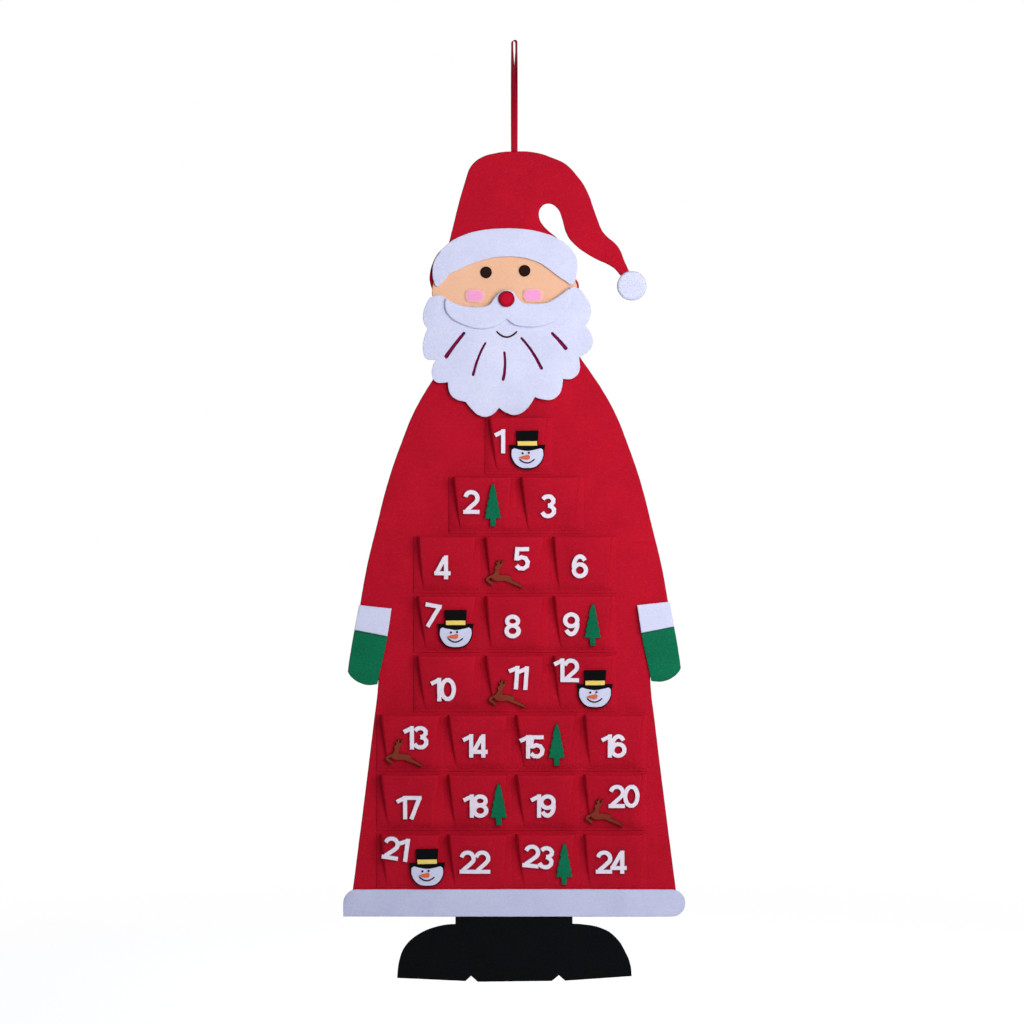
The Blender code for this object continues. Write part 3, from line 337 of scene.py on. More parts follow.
def soft_line(outline):
    """A closed line through the points of an outline, sharp at its corners and softly curved elsewhere."""
    count = len(outline)
    turns = []
    for index, here in enumerate(outline):
        before = here - outline[index - 1]
        after = outline[(index + 1) % count] - here
        is_corner = abs(before.angle_signed(after, 0)) > CORNER_TURN
        turns.append(None if is_corner else (before + after).normalized())
    line = []
    for index, here in enumerate(outline):
        after = outline[(index + 1) % count]
        span = after - here
        straight = span.normalized()
        leave = turns[index] or straight
        arrive = turns[(index + 1) % count] or straight
        steps = 1
        if turns[index] or turns[(index + 1) % count]:
            steps = min(MOST_STEPS, max(1, math.ceil(span.length / CURVE_STEP)))
        points = interpolate_bezier(here, here + leave * span.length / 3, after - arrive * span.length / 3,
                                    after, steps + 1)
        line += [Vector(point).to_2d() for point in points[:-1]]
    return line


def inset_line(line, inset):
    """The line moved towards its left side, which is where the felt is."""
    moved = []
    for index, here in enumerate(line):
        before = (here - line[index - 1]).normalized()
        after = (line[(index + 1) % len(line)] - here).normalized()
        along = (before + after).normalized()
        reach = inset / max(along.dot(after), SHARPEST_MITRE)
        moved.append(here + Vector((-along.y, along.x)) * reach)
    return moved


def add_plate(felt, shade, outlines, low, high, edge):
    """Adds one flat plate with rounded cut edges to a mesh, and marks its edges in the shade layer."""
    lines = []
    for outline in outlines:
        is_hole = sum(is_inside(outline[0], other) for other in outlines if other is not outline) % 2
        line = soft_line(outline)
        if (area_of(line) < 0) != bool(is_hole):
            line.reverse()
        lines.append(line)
    rise = min(edge, (high - low) / 2)
    quarter = [math.radians(90) * step / EDGE_STEPS for step in range(EDGE_STEPS + 1)]
    section = [(edge * (1 - math.sin(turn)), low + rise * (1 - math.cos(turn))) for turn in quarter]
    section += [(inset, low + high - out) for inset, out in reversed(section)]
    rims = ([], [])
    for line in lines:
        rings = []
        for inset, out in section:
            ring = [felt.verts.new((point.x, point.y, out)) for point in inset_line(line, inset)]
            # Mask for the painted edge shade: 1 at the outer rim of the cut edge, 0 where its rounding ends
            for vertex in ring:
                vertex[shade] = 1 - inset / edge
            rings.append(ring)
        bridge(felt, rings)
        for rim, ring in zip(rims, (rings[0], rings[-1])):
            rim += [felt.edges.get((ring[index - 1], ring[index])) for index in range(len(ring))]
    for rim, side in zip(rims, (-1, 1)):
        cap = bmesh.ops.triangle_fill(felt, use_beauty=True, edges=rim, normal=(0, 0, side))
        faces = [piece for piece in cap["geom"] if isinstance(piece, bmesh.types.BMFace)]
        felt.normal_update()
        bmesh.ops.reverse_faces(felt, faces=[face for face in faces if face.normal.z * side < 0])


def put_in_scene(name, mesh, material, body="calendar", carrier=None):
    """A finished piece with the material it is given. It hangs with a body, or goes with the larger
    piece that it is sewn or glued on."""
    mesh.name = name
    for face in mesh.polygons:
        face.use_smooth = True
    mesh.materials.clear()
    mesh.materials.append(material)
    piece = new_object(name, mesh)
    if carrier:
        piece.parent = carrier
    else:
        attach(piece, body)
    return piece


def cut_felt(name, outlines, low, high, lay, material, slot, cell=FELT_CELL, edge=CUT_EDGE, carrier=None,
             folds=()):
    """A piece cut from felt along outlines and laid in its place by lay(across, up, out). It has soft
    curves between its corners, edges rounded as shears and wear leave them, and a mesh fine enough to
    follow what is below, with extra lines at the heights of its folds."""
    felt = bmesh.new()
    shade = felt.verts.layers.float.new("cut_edge")
    add_plate(felt, shade, outlines, low, high, edge)
    for axis in (0, 1):
        least, most = reach_of([vertex.co for vertex in felt.verts], axis)
        direction = Vector((1 - axis, axis, 0))
        marks = [line * cell for line in range(math.ceil(least / cell), math.floor(most / cell) + 1)]
        for mark in marks + list(folds if axis else ()):
            bmesh.ops.bisect_plane(felt, geom=felt.verts[:] + felt.edges[:] + felt.faces[:],
                                   dist=WELD, plane_co=direction * mark, plane_no=direction)
    seed = sum(ord(letter) for letter in name)
    for vertex in felt.verts:
        across, up, out = vertex.co
        place = Vector((across, up, seed * SHEAR_SPACING)) / SHEAR_SPACING
        wander = noise.noise_vector(place) * SHEAR_WANDER
        vertex.co = lay(across + wander.x, up + wander.y, out)
    piece = put_in_scene(name, mesh_of(name, felt), material, carrier=carrier)
    flat_faces = piece.modifiers.new("flat_faces", "WEIGHTED_NORMAL")
    flat_faces.weight = FACE_WEIGHT
    flat_faces.keep_sharp = False
    return piece


def hang(across, up, out):
    """Place of a point of the flat figure on the waving felt."""
    return Vector((across, -out - drape(across, up), up))


def blend(tree, share, *ends):
    """The colour at a share of the way between two, which are given as sRGB hex or as sockets."""
    links = {"Factor": share}
    for place, end in zip(MIX_INPUTS, ends):
        links[place] = linear(end) if isinstance(end, str) else end
    return add(tree, "Mix", links, data_type="RGBA").outputs[MIX_OUTPUT]


def needle_felt(name, shades):
    """Needle-punched polyester felt. The needles leave matted clumps about 2.6 mm wide, and fine fibres
    lie over them in every direction. Real fibres are 20 thousandths of a millimetre thick, so they are
    drawn coarser here, as 0.9 mm bundles 7 mm long. The eye gets a matt surface with a pale, faintly
    glowing fuzz. Its fourth shade is painted shade, mixed in along the rounded cut edge as a darker rim;
    for the cheeks it is the skin's colour instead, so their rims melt into it."""
    dye, deep, fuzz, edge = shades
    felt = bpy.data.materials.new(name)
    tree = empty_tree(felt)
    place = add(tree, "TexCoord").outputs["Object"]
    bend = add(tree, "TexNoise", {"Vector": place, "Scale": 1 / FIBRE_LENGTH, "Detail": 1}).outputs["Color"]
    shift = add(tree, "VectorMath", {0: bend, 1: NOISE_MIDDLE}, operation="SUBTRACT")
    length = add(tree, "VectorMath", {0: shift, "Scale": FIBRE_LENGTH}, operation="SCALE")
    curled = add(tree, "VectorMath", {0: place, 1: length}, operation="ADD")
    strands = None
    for direction in FIBRE_DIRECTIONS:
        turned = add(tree, "Mapping", {
            "Vector": curled, "Rotation": (0, math.radians(direction), 0),
            "Scale": (1 / FIBRE_LENGTH, 1 / FIBRE_WIDTH, 1 / FIBRE_WIDTH)}, vector_type="POINT")
        bundle = add(tree, "TexNoise", {"Vector": turned, "Scale": 1, "Detail": FIBRE_DETAIL})
        thin = add(tree, "MapRange", {
            "Value": bundle, "From Min": STRAND_RANGE[0], "From Max": STRAND_RANGE[1]}, clamp=True)
        strands = add(tree, "Math", {0: strands, 1: thin}, operation="MAXIMUM") if strands else thin
    clumps = add(tree, "TexNoise", {
        "Vector": place, "Scale": 1 / CLUMP_WIDTH, "Detail": CLUMP_DETAIL, "Roughness": CLUMP_ROUGHNESS})
    patches = add(tree, "TexNoise", {"Vector": place, "Scale": 1 / PATCH_WIDTH, "Detail": PATCH_DETAIL})
    # Painted shade and tone: the colour runs to the deep shade where the fine clumps are low, as shade in
    # their hollows, and the broad patches vary it at random
    hollow_shade_and_tone = add(tree, "Math", {0: clumps, 1: patches}, operation="ADD")
    depth = add(tree, "MapRange", {
        "Value": hollow_shade_and_tone, "From Min": CLUMP_RANGE[0], "From Max": CLUMP_RANGE[1]}, clamp=True)
    pale = add(tree, "Math", {0: strands, 1: STRAND_PALENESS}, operation="MULTIPLY")
    colour = blend(tree, pale, blend(tree, depth, deep, dye), fuzz)
    # Painted shade: the fourth shade is mixed in where the cut_edge mask is high, a darker rim round each
    # piece
    rim = add(tree, "Attribute", attribute_name="cut_edge").outputs["Fac"]
    height = add(tree, "Math", {0: strands, 1: clumps}, operation="ADD")
    bump = add(tree, "Bump", {"Height": height, "Strength": RELIEF_STRENGTH, "Distance": FELT_RELIEF})
    surface = add(tree, "BsdfPrincipled", {
        "Base Color": blend(tree, rim, colour, edge), "Roughness": FELT_ROUGHNESS, "IOR": FELT_IOR,
        "Specular IOR Level": FELT_GLOSS, "Sheen Weight": FELT_SHEEN,
        "Sheen Roughness": FELT_SHEEN_ROUGHNESS, "Sheen Tint": linear(fuzz), "Normal": bump})
    add(tree, "OutputMaterial", {"Surface": surface})
    return felt


def felt_for_node(name, node, material, slot, rests_on, place=UPRIGHT, lay=hang, thickness=None, **cut):
    """A felt piece with a flat node's outline, which stands for that node. Its thickness is the node's,
    unless something else is joined to the node's rear. It goes with a carrier when one is given.
    Its rests_on argument is not used."""
    outlines, area, low, high = cut_of(node, place)
    if thickness:
        low = high - thickness
    piece = cut_felt(name, outlines, low, high, lay, material, slot, **cut)
    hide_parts(node)
    return piece


noise.seed_set(SHEAR_SEED)
red_felt = needle_felt("red_craft_felt", RED_SHADES)
fold_lines = [FOLD_Z + FOLD_WIDTH * share for share in FOLD_LINE_SHARES]
felt_for_node("robe_panel", "body_panel", red_felt, "red_felt", [], cell=PANEL_CELL, folds=fold_lines)

# The boots
# Two round-toed boots cut from one piece of black felt, slipped under the robe's lower edge.
BLACK_SHADES = ("#0E0F11", "#090A0C", "#1C1E24", "#040405")

black_felt = needle_felt("black_craft_felt", BLACK_SHADES)
felt_for_node("black_boots", "boots", black_felt, "black_felt", ["robe_panel"])

# The hem band
# A long felt band with round ends, sewn on over the robe's foot. It is the beard's white felt, drawn
# darker as painted shade, as the robe's foot gets less light.
HEM_SHADES = ("#D2D5F2", "#C2C6E7", "#E1E4F8", "#B9BDDB")

hem_felt = needle_felt("white_felt_painted_shade", HEM_SHADES)
felt_for_node("white_hem", "hem_band", hem_felt, "white_felt", ["robe_panel"])

# The hands
# Green felt mittens hang from the sleeves, each with a white felt cuff laid over its wrist.
GREEN_SHADES = ("#127753", "#0A6142", "#2A8A64", "#0A4A34")
WHITE_SHADES = ("#E0E2FC", "#D1D4F0", "#EEF0FE", "#CFD3EC")

green_felt = needle_felt("green_craft_felt", GREEN_SHADES)
white_felt = needle_felt("white_craft_felt", WHITE_SHADES)
for hand in ("left", "right"):
    felt_for_node("green_mitten_" + hand, "mitten_" + hand, green_felt, "green_felt", ["robe_panel"])
    felt_for_node("white_cuff_" + hand, "cuff_" + hand, white_felt, "white_felt", ["green_mitten_" + hand])

# The hat
# One piece of red felt with a long tail that curls over to the right, sewn on over the head. The pompom on
# the tail's tip is a thick white felt disc with a worn round edge.
HAT_THICKNESS = 0.0025
POMPOM_EDGE = 0.0024

hat = felt_for_node("red_hat", "hat", red_felt, "red_felt", ["robe_panel"], thickness=HAT_THICKNESS)
felt_for_node("white_pompom", "hat_pompom", white_felt, "white_felt", ["red_hat"], edge=POMPOM_EDGE)

# The face
# Peach felt over the head, with two black-brown felt dots for eyes. The cheeks are two pads of brushed pink
# felt whose thin rims melt into the skin.
PEACH_SHADES = ("#F8C4A2", "#F2BA96", "#FBD2B6", "#E8B490")
PINK_SHADES = ("#FFA8DC", "#F9A0D2", "#FFC0E6", PEACH_SHADES[0])
HEAD_MIDDLE_X = -0.009
EYE_SHADES = ("#301C18", "#22120F", "#4A2E28", "#160B09")
FACE_BASE = 0.0025
EYE_WIDTH_LIMIT = 0.018
EYE_EDGE = 0.0016
CHEEK_EDGE = 0.0036

peach_felt = needle_felt("peach_craft_felt", PEACH_SHADES)
pink_felt = needle_felt("pink_brushed_felt", PINK_SHADES)
eye_felt = needle_felt("dark_brown_felt", EYE_SHADES)
face_outlines, face_area, face_low, _ = cut_of("face", side=-1)
face = cut_felt("peach_face", face_outlines, face_low, face_low + FACE_BASE, hang, peach_felt, "peach_felt")
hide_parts("face")
eye_cut = ("dark_eye_", eye_felt, "black_felt", EYE_EDGE)
cheek_cut = ("pink_cheek_", pink_felt, "peach_felt", CHEEK_EDGE)
disc_outlines, _, _, disc_top = cut_of("face")
for outline in disc_outlines:
    (left, right), (foot, top) = reach_of(outline, 0), reach_of(outline, 1)
    middle = sum(outline, Vector((0, 0))) / len(outline)
    kind, felt, slot, edge = eye_cut if right - left < EYE_WIDTH_LIMIT else cheek_cut
    name = kind + ("left" if middle.x < HEAD_MIDDLE_X else "right")
    disc = cut_felt(name, [outline], face_low + FACE_BASE, disc_top, hang, felt, slot, edge=edge)

# The brim and the beard
# White felt: a band bent over the forehead, and a wide scalloped beard with five cut slits. A thin plum
# sheet behind the beard is painted shadow: it colours the slits as the shaded felt seen deep inside them.
SLIT_SHADOW_SHADES = ("#8A1A50", "#70123E", "#9E2C62", "#4A0C2A")
SHADOW_SHEET_MIDDLE = Vector((-0.0085, -0.345))
SHADOW_SHEET_RADII = (0.086, 0.074)
SHADOW_SHEET_THICKNESS = 0.001
SHADOW_SHEET_STEPS = 24
LAYER_GAP = 0.0003
TRIM_EDGE = 0.0006

felt_for_node("white_brim", "hat_brim", white_felt, "white_felt", ["red_hat"], edge=TRIM_EDGE)
beard = felt_for_node("white_beard", "beard", white_felt, "white_felt", ["robe_panel"], edge=TRIM_EDGE)
# Painted shadow: a sheet whose plum colour stands for the shade inside the beard's slits
slit_shadow_felt = needle_felt("painted_slit_shadow", SLIT_SHADOW_SHADES)
beard_low, beard_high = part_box("beard")
shadow_sheet_high = -beard_high.y - LAYER_GAP
shadow_sheet_outline = []
for step in range(SHADOW_SHEET_STEPS + 1):
    turn = math.radians(180) * (1 + step / SHADOW_SHEET_STEPS)
    shadow_sheet_outline.append(SHADOW_SHEET_MIDDLE + Vector((
        SHADOW_SHEET_RADII[0] * math.cos(turn), SHADOW_SHEET_RADII[1] * math.sin(turn))))
slit_shadow_sheet = cut_felt("plum_backing", [shadow_sheet_outline], shadow_sheet_high - SHADOW_SHEET_THICKNESS, shadow_sheet_high, hang,
                   slit_shadow_felt, "black_felt", edge=LAYER_GAP)

# The moustache, the nose and the smile
# White felt laid over the beard, with a bump behind the nose, a small stuffed dome of scarlet felt. The
# smile is one line of dark thread on the beard.
SCARLET_SHADES = ("#CB1130", "#B80C28", "#E0304C", "#8A0820")
MOUSTACHE_EDGE = 0.0015
NOSE_EDGE = 0.0045
SMILE_MIDDLE = Vector((-0.009, -0.3496))
SMILE_HALF_WIDTH = 0.0126
SMILE_SAG = 0.0072
SMILE_STEPS = 14
THREAD_RADIUS = 0.0011
THREAD_SIDES = 8
THREAD_END_SHARE = 0.5
THREAD_TURN = 0.0016
THREAD_WANDER = 1
THREAD_RELIEF_SHARE = 0.25
THREAD_ROUGHNESS = 0.55
BAND_SCALE = math.tau / 20
DARK_THREAD_SHADES = ("#2C0E18", "#43202C")


def add_thread(felt, points, radius):
    """Adds a round thread along points to a mesh, with closed round ends."""
    rings = []
    for index, point in enumerate(points):
        along = (points[min(index + 1, len(points) - 1)] - points[max(index - 1, 0)]).normalized()
        across = along.cross(Vector((0, 1, 0))).normalized()
        outward = across.cross(along)
        end_share = THREAD_END_SHARE if index in (0, len(points) - 1) else 1
        ring = []
        for side in range(THREAD_SIDES):
            turn = 2 * math.pi * side / THREAD_SIDES
            spoke = across * math.cos(turn) + outward * math.sin(turn)
            ring.append(felt.verts.new(point + spoke * radius * end_share))
        rings.append(ring)
    bridge(felt, rings)
    felt.faces.new(rings[0][::-1])
    felt.faces.new(rings[-1])


def thread_piece(name, lines, radius, material, carrier):
    """Threads sewn on a piece, in one mesh that goes with it."""
    sewn = bmesh.new()
    for points in lines:
        add_thread(sewn, points, radius)
    bmesh.ops.recalc_face_normals(sewn, faces=sewn.faces)
    return put_in_scene(name, mesh_of(name, sewn), material, carrier=carrier)


def smile_line(middle, half_width, sag, lay, out):
    """Points of a thread that sags between its ends, laid in its place by lay(across, up, out)."""
    shares = [2 * step / SMILE_STEPS - 1 for step in range(SMILE_STEPS + 1)]
    return [lay(middle.x + half_width * part, middle.y - sag * (1 - part * part), out) for part in shares]


def twisted_thread(name, shades):
    """Two-ply polyester sewing thread. Its plies turn about every half millimetre, drawn here as 1.6 mm
    bands so that they show, and give the eye a fine silky rope."""
    thread = bpy.data.materials.new(name)
    tree = empty_tree(thread)
    place = add(tree, "TexCoord").outputs["Object"]
    plies = add(tree, "TexWave", {
        "Vector": place, "Scale": BAND_SCALE / THREAD_TURN, "Distortion": THREAD_WANDER},
        bands_direction="DIAGONAL").outputs["Fac"]
    bump = add(tree, "Bump", {
        "Height": plies, "Strength": RELIEF_STRENGTH, "Distance": THREAD_RADIUS * THREAD_RELIEF_SHARE})
    # Painted shade: the thread takes its darker shade in the grooves between the plies, where the bump is
    # low, and its lighter one on their ridges
    surface = add(tree, "BsdfPrincipled", {
        "Base Color": blend(tree, plies, *shades), "Roughness": THREAD_ROUGHNESS, "IOR": FELT_IOR,
        "Specular IOR Level": FELT_GLOSS, "Normal": bump})
    add(tree, "OutputMaterial", {"Surface": surface})
    return thread


felt_for_node("white_moustache", "moustache", white_felt, "white_felt", ["white_beard"],
              edge=MOUSTACHE_EDGE)
scarlet_felt = needle_felt("scarlet_craft_felt", SCARLET_SHADES)
# Painted shade: the dome's wide rounded rim takes the scarlet felt's dark edge shade, a painted shade ring
# round the nose
felt_for_node("red_nose", "nose", scarlet_felt, "red_felt", ["white_moustache"], edge=NOSE_EDGE)
dark_thread = twisted_thread("dark_sewing_thread", DARK_THREAD_SHADES)
smile = smile_line(SMILE_MIDDLE, SMILE_HALF_WIDTH, SMILE_SAG, hang, -beard_low.y)
thread_piece("smile_thread", [smile], THREAD_RADIUS, dark_thread, beard)

# The pockets
# Eight strips of the same red felt, 1.5 mm thick. Each is sewn to the robe along its foot and between its
# pockets, and each pocket's spare width is laid in a pleat on both sides, flat at the foot and open above.
POCKET_COUNTS = (1, 2, 3, 3, 3, 4, 4, 4)
STRIP_THICKNESS = 0.0015
POCKET_DEPTH = 0.012
FLANGE = 0.012
FLANGE_LAND_SHARE = 0.25
END_FLANGE = 0.006
SEAM_TO_EDGE = 0.003
PLEAT_RANGE = (0.006, 0.010)
FOLD_INSET_FOOT = 0.0006
FOLD_RISE = 1.8
FOLD_INSET_RANGE = (0.0014, 0.0026)
FRONT_BULGE_RANGE = (0.0012, 0.0026)
BULGE_RISE = 1.3
RAW_EDGE_LENGTH = 0.0036
RAW_EDGE_MIDDLE_SHARE = 0.7
RAW_EDGE_THINNING = 0.0012
FOOT_GROOVE = 0.0008
FOOT_GROOVE_WIDTH = 0.0014
FLANGE_GROOVE = 0.0004
END_THINNING = 0.0013
END_PRESS_WIDTH = 0.0012
MOUTH_SHADE = 0.35
FLANGE_GROOVE_WIDTH = 0.001
FOLD_RADIUS = 0.0011
BEND_STEPS = 4
BEND_LIMIT = 0.45
FRONT_STEPS = 14
CORNER_STEPS = 2
LEVELS = 16
EDGE_ROUND_SHARES = (0.2, 0.5, 0.8)
STITCH_LENGTH = 0.0032
STITCH_GAP = 0.0010
STITCH_STEPS = 4
STITCH_RADIUS = 0.00035
STITCH_DIP = 0.0002
POCKET_SEED = 24
RED_THREAD_SHADES = ("#A80F25", "#C6283C")


class Pocket:
    """One pocket of a strip: where it stands, and how its pleats and front happen to lie."""

    def __init__(self, x, rear_y, foot_z, width, height, chance):
        self.x = x
        self.rear_y = rear_y
        self.half = width / 2
        self.tilt = math.atan2(POCKET_DEPTH, height)
        self.length = math.hypot(POCKET_DEPTH, height)
        self.pleats = [chance.uniform(*PLEAT_RANGE) for side in (0, 1)]
        self.insets = [chance.uniform(*FOLD_INSET_RANGE) for side in (0, 1)]
        self.bulge = chance.uniform(*FRONT_BULGE_RANGE)
        self.up = Vector((0, -math.sin(self.tilt), math.cos(self.tilt)))
        self.outward = Vector((0, -math.cos(self.tilt), -math.sin(self.tilt)))
        self.foot = Vector((x, rear_y, foot_z))
        lean = Matrix.Rotation(math.radians(90) + self.tilt, 4, "X")
        self.place = Matrix.Translation(self.foot + self.outward * STRIP_THICKNESS) @ lean

    def crease(self, side, share):
        """How far a pleat's rear crease is from the pocket's middle, at a share of the height."""
        return self.half - self.pleats[side] * (1 - share)

    def fold(self, side, share):
        """How far a pleat's front fold is from the pocket's middle, at a share of the height."""
        inset = FOLD_INSET_FOOT + (self.insets[side] - FOLD_INSET_FOOT) * share ** FOLD_RISE
        return self.crease(side, share) - inset

    def front(self, across, along, out):
        """Place of a point on the pocket's front, which bulges a little between its folds and towards its
        mouth."""
        share = min(1, max(0, along / self.length))
        side = 0 if across < 0 else 1
        part = min(1, abs(across) / self.fold(side, share))
        bulge = self.bulge * share ** BULGE_RISE * (1 - part * part)
        point = self.foot + Vector((across, 0, 0)) + self.up * along + self.outward * (bulge + out)
        point.y -= drape(point.x, point.z)
        return point

    def on_front(self, across, along, out):
        """Place of a point of a number or ornament, which lies on the front's outer side."""
        return self.front(across, along, out + STRIP_THICKNESS)

    def on_robe(self, offset, z):
        """Place of a point of the strip where it lies on the robe."""
        return Vector((self.x + offset, self.rear_y - drape(self.x + offset, z), z))


def rounded(corners, radius):
    """The corners of a section, each with its neighbouring stretches, as one line with round bends."""
    line = [corners[0]]
    for index in range(1, len(corners) - 1):
        here = corners[index]
        before = corners[index - 1] - here
        after = corners[index + 1] - here
        start = here + before * min(BEND_LIMIT, radius / max(before.length, WELD))
        end = here + after * min(BEND_LIMIT, radius / max(after.length, WELD))
        for step in range(BEND_STEPS + 1):
            share = step / BEND_STEPS
            line.append(start * (1 - share) ** 2 + here * 2 * share * (1 - share) + end * share ** 2)
    line.append(corners[-1])
    return line


def strip_line(pockets, left_x, right_x, share):
    """The strip's inner side at a share of the pockets' height, from its left end to its right end, and
    which of its points lie on the seams between two pockets."""
    first, last = pockets[0], pockets[-1]
    inner_corner = 1 - CORNER_STEPS / FRONT_STEPS
    line = []
    seams = []
    for pocket in pockets:
        left_fold, right_fold = pocket.fold(0, share), pocket.fold(1, share)
        along = pocket.length * share
        left_corner = pocket.front(-left_fold, along, 0)
        right_corner = pocket.front(right_fold, along, 0)
        land = pocket.half + FLANGE * FLANGE_LAND_SHARE
        z = left_corner.z
        line += rounded([
            pocket.on_robe(-land, z), pocket.on_robe(-pocket.crease(0, share), z),
            left_corner, pocket.front(-left_fold * inner_corner, along, 0)], FOLD_RADIUS)
        for step in range(CORNER_STEPS + 1, 2 * FRONT_STEPS - CORNER_STEPS):
            part = step / FRONT_STEPS - 1
            line.append(pocket.front(part * (left_fold if part < 0 else right_fold), along, 0))
        line += rounded([
            pocket.front(right_fold * inner_corner, along, 0), right_corner,
            pocket.on_robe(pocket.crease(1, share), z), pocket.on_robe(land, z)], FOLD_RADIUS)
        if pocket is not last:
            seams.append(len(line) + 1)
            for offset in (-FLANGE_GROOVE_WIDTH, 0, FLANGE_GROOVE_WIDTH):
                line.append(pocket.on_robe(pocket.half + FLANGE / 2 + offset, z))
    end_marks = (END_PRESS_WIDTH, 0)
    for mark in end_marks:
        line.insert(0, first.on_robe(left_x + mark - first.x, line[0].z))
        line.append(last.on_robe(right_x - mark - last.x, line[-1].z))
    return line, [seam + len(end_marks) for seam in seams]


def end_round(line_pair, beyond):
    """Points round the strip's edge from one side to the other."""
    points = []
    for share in EDGE_ROUND_SHARES:
        reach = math.sqrt(1 - (2 * share - 1) ** 2)
        points.append(line_pair[0].lerp(line_pair[1], share) + beyond * reach)
    return points


def strip_mesh(name, pockets, left_x, right_x, raw_length):
    """A closed mesh of one sewn strip, with its raw edge below the foot seam and its round mouth edge. It
    also gives the strip's flat area, width and height, and the lines on its outer side that are sewn."""
    below, seams = strip_line(pockets, left_x, right_x, 0)
    rows = []
    for reach, groove in (
            (raw_length, RAW_EDGE_THINNING), (raw_length * RAW_EDGE_MIDDLE_SHARE, RAW_EDGE_THINNING),
            (FOOT_GROOVE_WIDTH, RAW_EDGE_THINNING), (0, FOOT_GROOVE)):
        rows.append(([point - Vector((0, 0, reach)) for point in below], groove))
    foot_row = len(rows) - 1
    for level in range(1, LEVELS + 1):
        rows.append((strip_line(pockets, left_x, right_x, level / LEVELS)[0], 0))
    inner = [row for row, groove in rows]
    ends = (0, 1, len(below) - 2, len(below) - 1)
    outer = []
    for i, (row, groove) in enumerate(rows):
        above = inner[min(i + 1, len(rows) - 1)]
        under = inner[max(i - 1, 0)]
        line = []
        for j, point in enumerate(row):
            along = row[min(j + 1, len(row) - 1)] - row[max(j - 1, 0)]
            normal = along.cross(above[j] - under[j]).normalized()
            press = max(groove, FLANGE_GROOVE if j in seams else 0, END_THINNING if j in ends else 0)
            line.append(point + normal * (STRIP_THICKNESS - press))
        outer.append(line)
    sheet = bmesh.new()
    shade = sheet.verts.layers.float.new("cut_edge")
    rings = []
    for j in range(len(below)):
        mouth_up = (inner[-1][j] - inner[-2][j]).normalized() * STRIP_THICKNESS / 2
        raw_down = (inner[0][j] - inner[1][j]).normalized() * STRIP_THICKNESS / 2
        mouth = end_round((inner[-1][j], outer[-1][j]), mouth_up)
        raw = end_round((outer[0][j], inner[0][j]), raw_down)
        points = [row[j] for row in inner] + mouth + [row[j] for row in reversed(outer)] + raw
        ring = [sheet.verts.new(point) for point in points]
        # Painted shade: the round mouth edge takes part of the felt's dark edge shade, a painted shade line
        # along each pocket's mouth
        for vertex in ring[len(inner):len(inner) + len(mouth)]:
            vertex[shade] = MOUTH_SHADE
        rings.append(ring)
    bridge(sheet, rings)
    sheet.faces.new(rings[0])
    sheet.faces.new(rings[-1][::-1])
    bmesh.ops.recalc_face_normals(sheet, faces=sheet.faces)
    area = sum(face.calc_area() for face in sheet.faces) / 2
    widest = sum((b - a).length for a, b in zip(inner[-1], inner[-1][1:]))
    tallest = sum((b[0] - a[0]).length for a, b in zip(inner, inner[1:]))
    sewn = [outer[foot_row]] + [[row[seam] for row in outer[foot_row:]] for seam in seams]
    return mesh_of(name, sheet), area, widest, tallest, sewn


def stitches(line):
    """Short runs of thread along a sewn line, each of which dips into the felt at both ends."""
    marks = [0]
    for before, after in zip(line, line[1:]):
        marks.append(marks[-1] + (after - before).length)
    runs = []
    start = STITCH_GAP
    while start + STITCH_LENGTH < marks[-1]:
        run = []
        for step in range(STITCH_STEPS + 1):
            share = step / STITCH_STEPS
            reach = start + STITCH_LENGTH * share
            index = next(i for i, mark in enumerate(marks) if mark >= reach)
            part = (reach - marks[index - 1]) / (marks[index] - marks[index - 1])
            point = line[index - 1].lerp(line[index], part)
            run.append(point - Vector((0, STITCH_DIP * (2 * math.sin(math.pi * share) - 1), 0)))
        runs.append(run)
        start += STITCH_LENGTH + STITCH_GAP
    return runs


red_thread = twisted_thread("red_sewing_thread", RED_THREAD_SHADES)
chance = random.Random(POCKET_SEED)
pockets = []
strips = []
for row, count in enumerate(POCKET_COUNTS):
    node = "pocket_strip_%d" % (row + 1)
    name = "pocket_row_%d" % (row + 1)
    low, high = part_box(node)
    foot_z = low.z + SEAM_TO_EDGE
    pocket_width = (high.x - low.x - 2 * END_FLANGE - (count - 1) * FLANGE) / count
    row_pockets = []
    for column in range(count):
        x = low.x + END_FLANGE + pocket_width / 2 + column * (pocket_width + FLANGE)
        row_pockets.append(Pocket(x, high.y, foot_z, pocket_width, high.z - foot_z, chance))
    raw_length = RAW_EDGE_LENGTH if row < len(POCKET_COUNTS) - 1 else SEAM_TO_EDGE
    mesh, area, widest, tallest, sewn = strip_mesh(name, row_pockets, low.x, high.x, raw_length)
    strip = put_in_scene(name, mesh, red_felt)
    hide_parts(node)
    runs = [run for line in sewn for run in stitches(line)]
    thread_piece("stitches_row_%d" % (row + 1), runs, STITCH_RADIUS, red_thread, strip)
    pockets += row_pockets
    strips += [strip] * count

# The numbers
# Plain numerals from 1 to 24, die-cut from 2.5 mm white felt and glued to the pocket fronts. Their sides
# are painted a dark purple, a painted shade that outlines each numeral against the red front.
NUMBER_CELL = 0.004
NUMBER_EDGE = 0.0003
NUMBER_SHADES = ("#FAF0FC", "#EFE2F2", "#FFFAFF", "#7C5478")

number_felt = needle_felt("die_cut_white_felt", NUMBER_SHADES)
for day, (pocket, strip) in enumerate(zip(pockets, strips), 1):
    felt_for_node("white_number_%02d" % day, "number_%02d" % day, number_felt, "white_felt", [strip],
                  place=pocket.place, lay=pocket.on_front, cell=NUMBER_CELL, edge=NUMBER_EDGE)

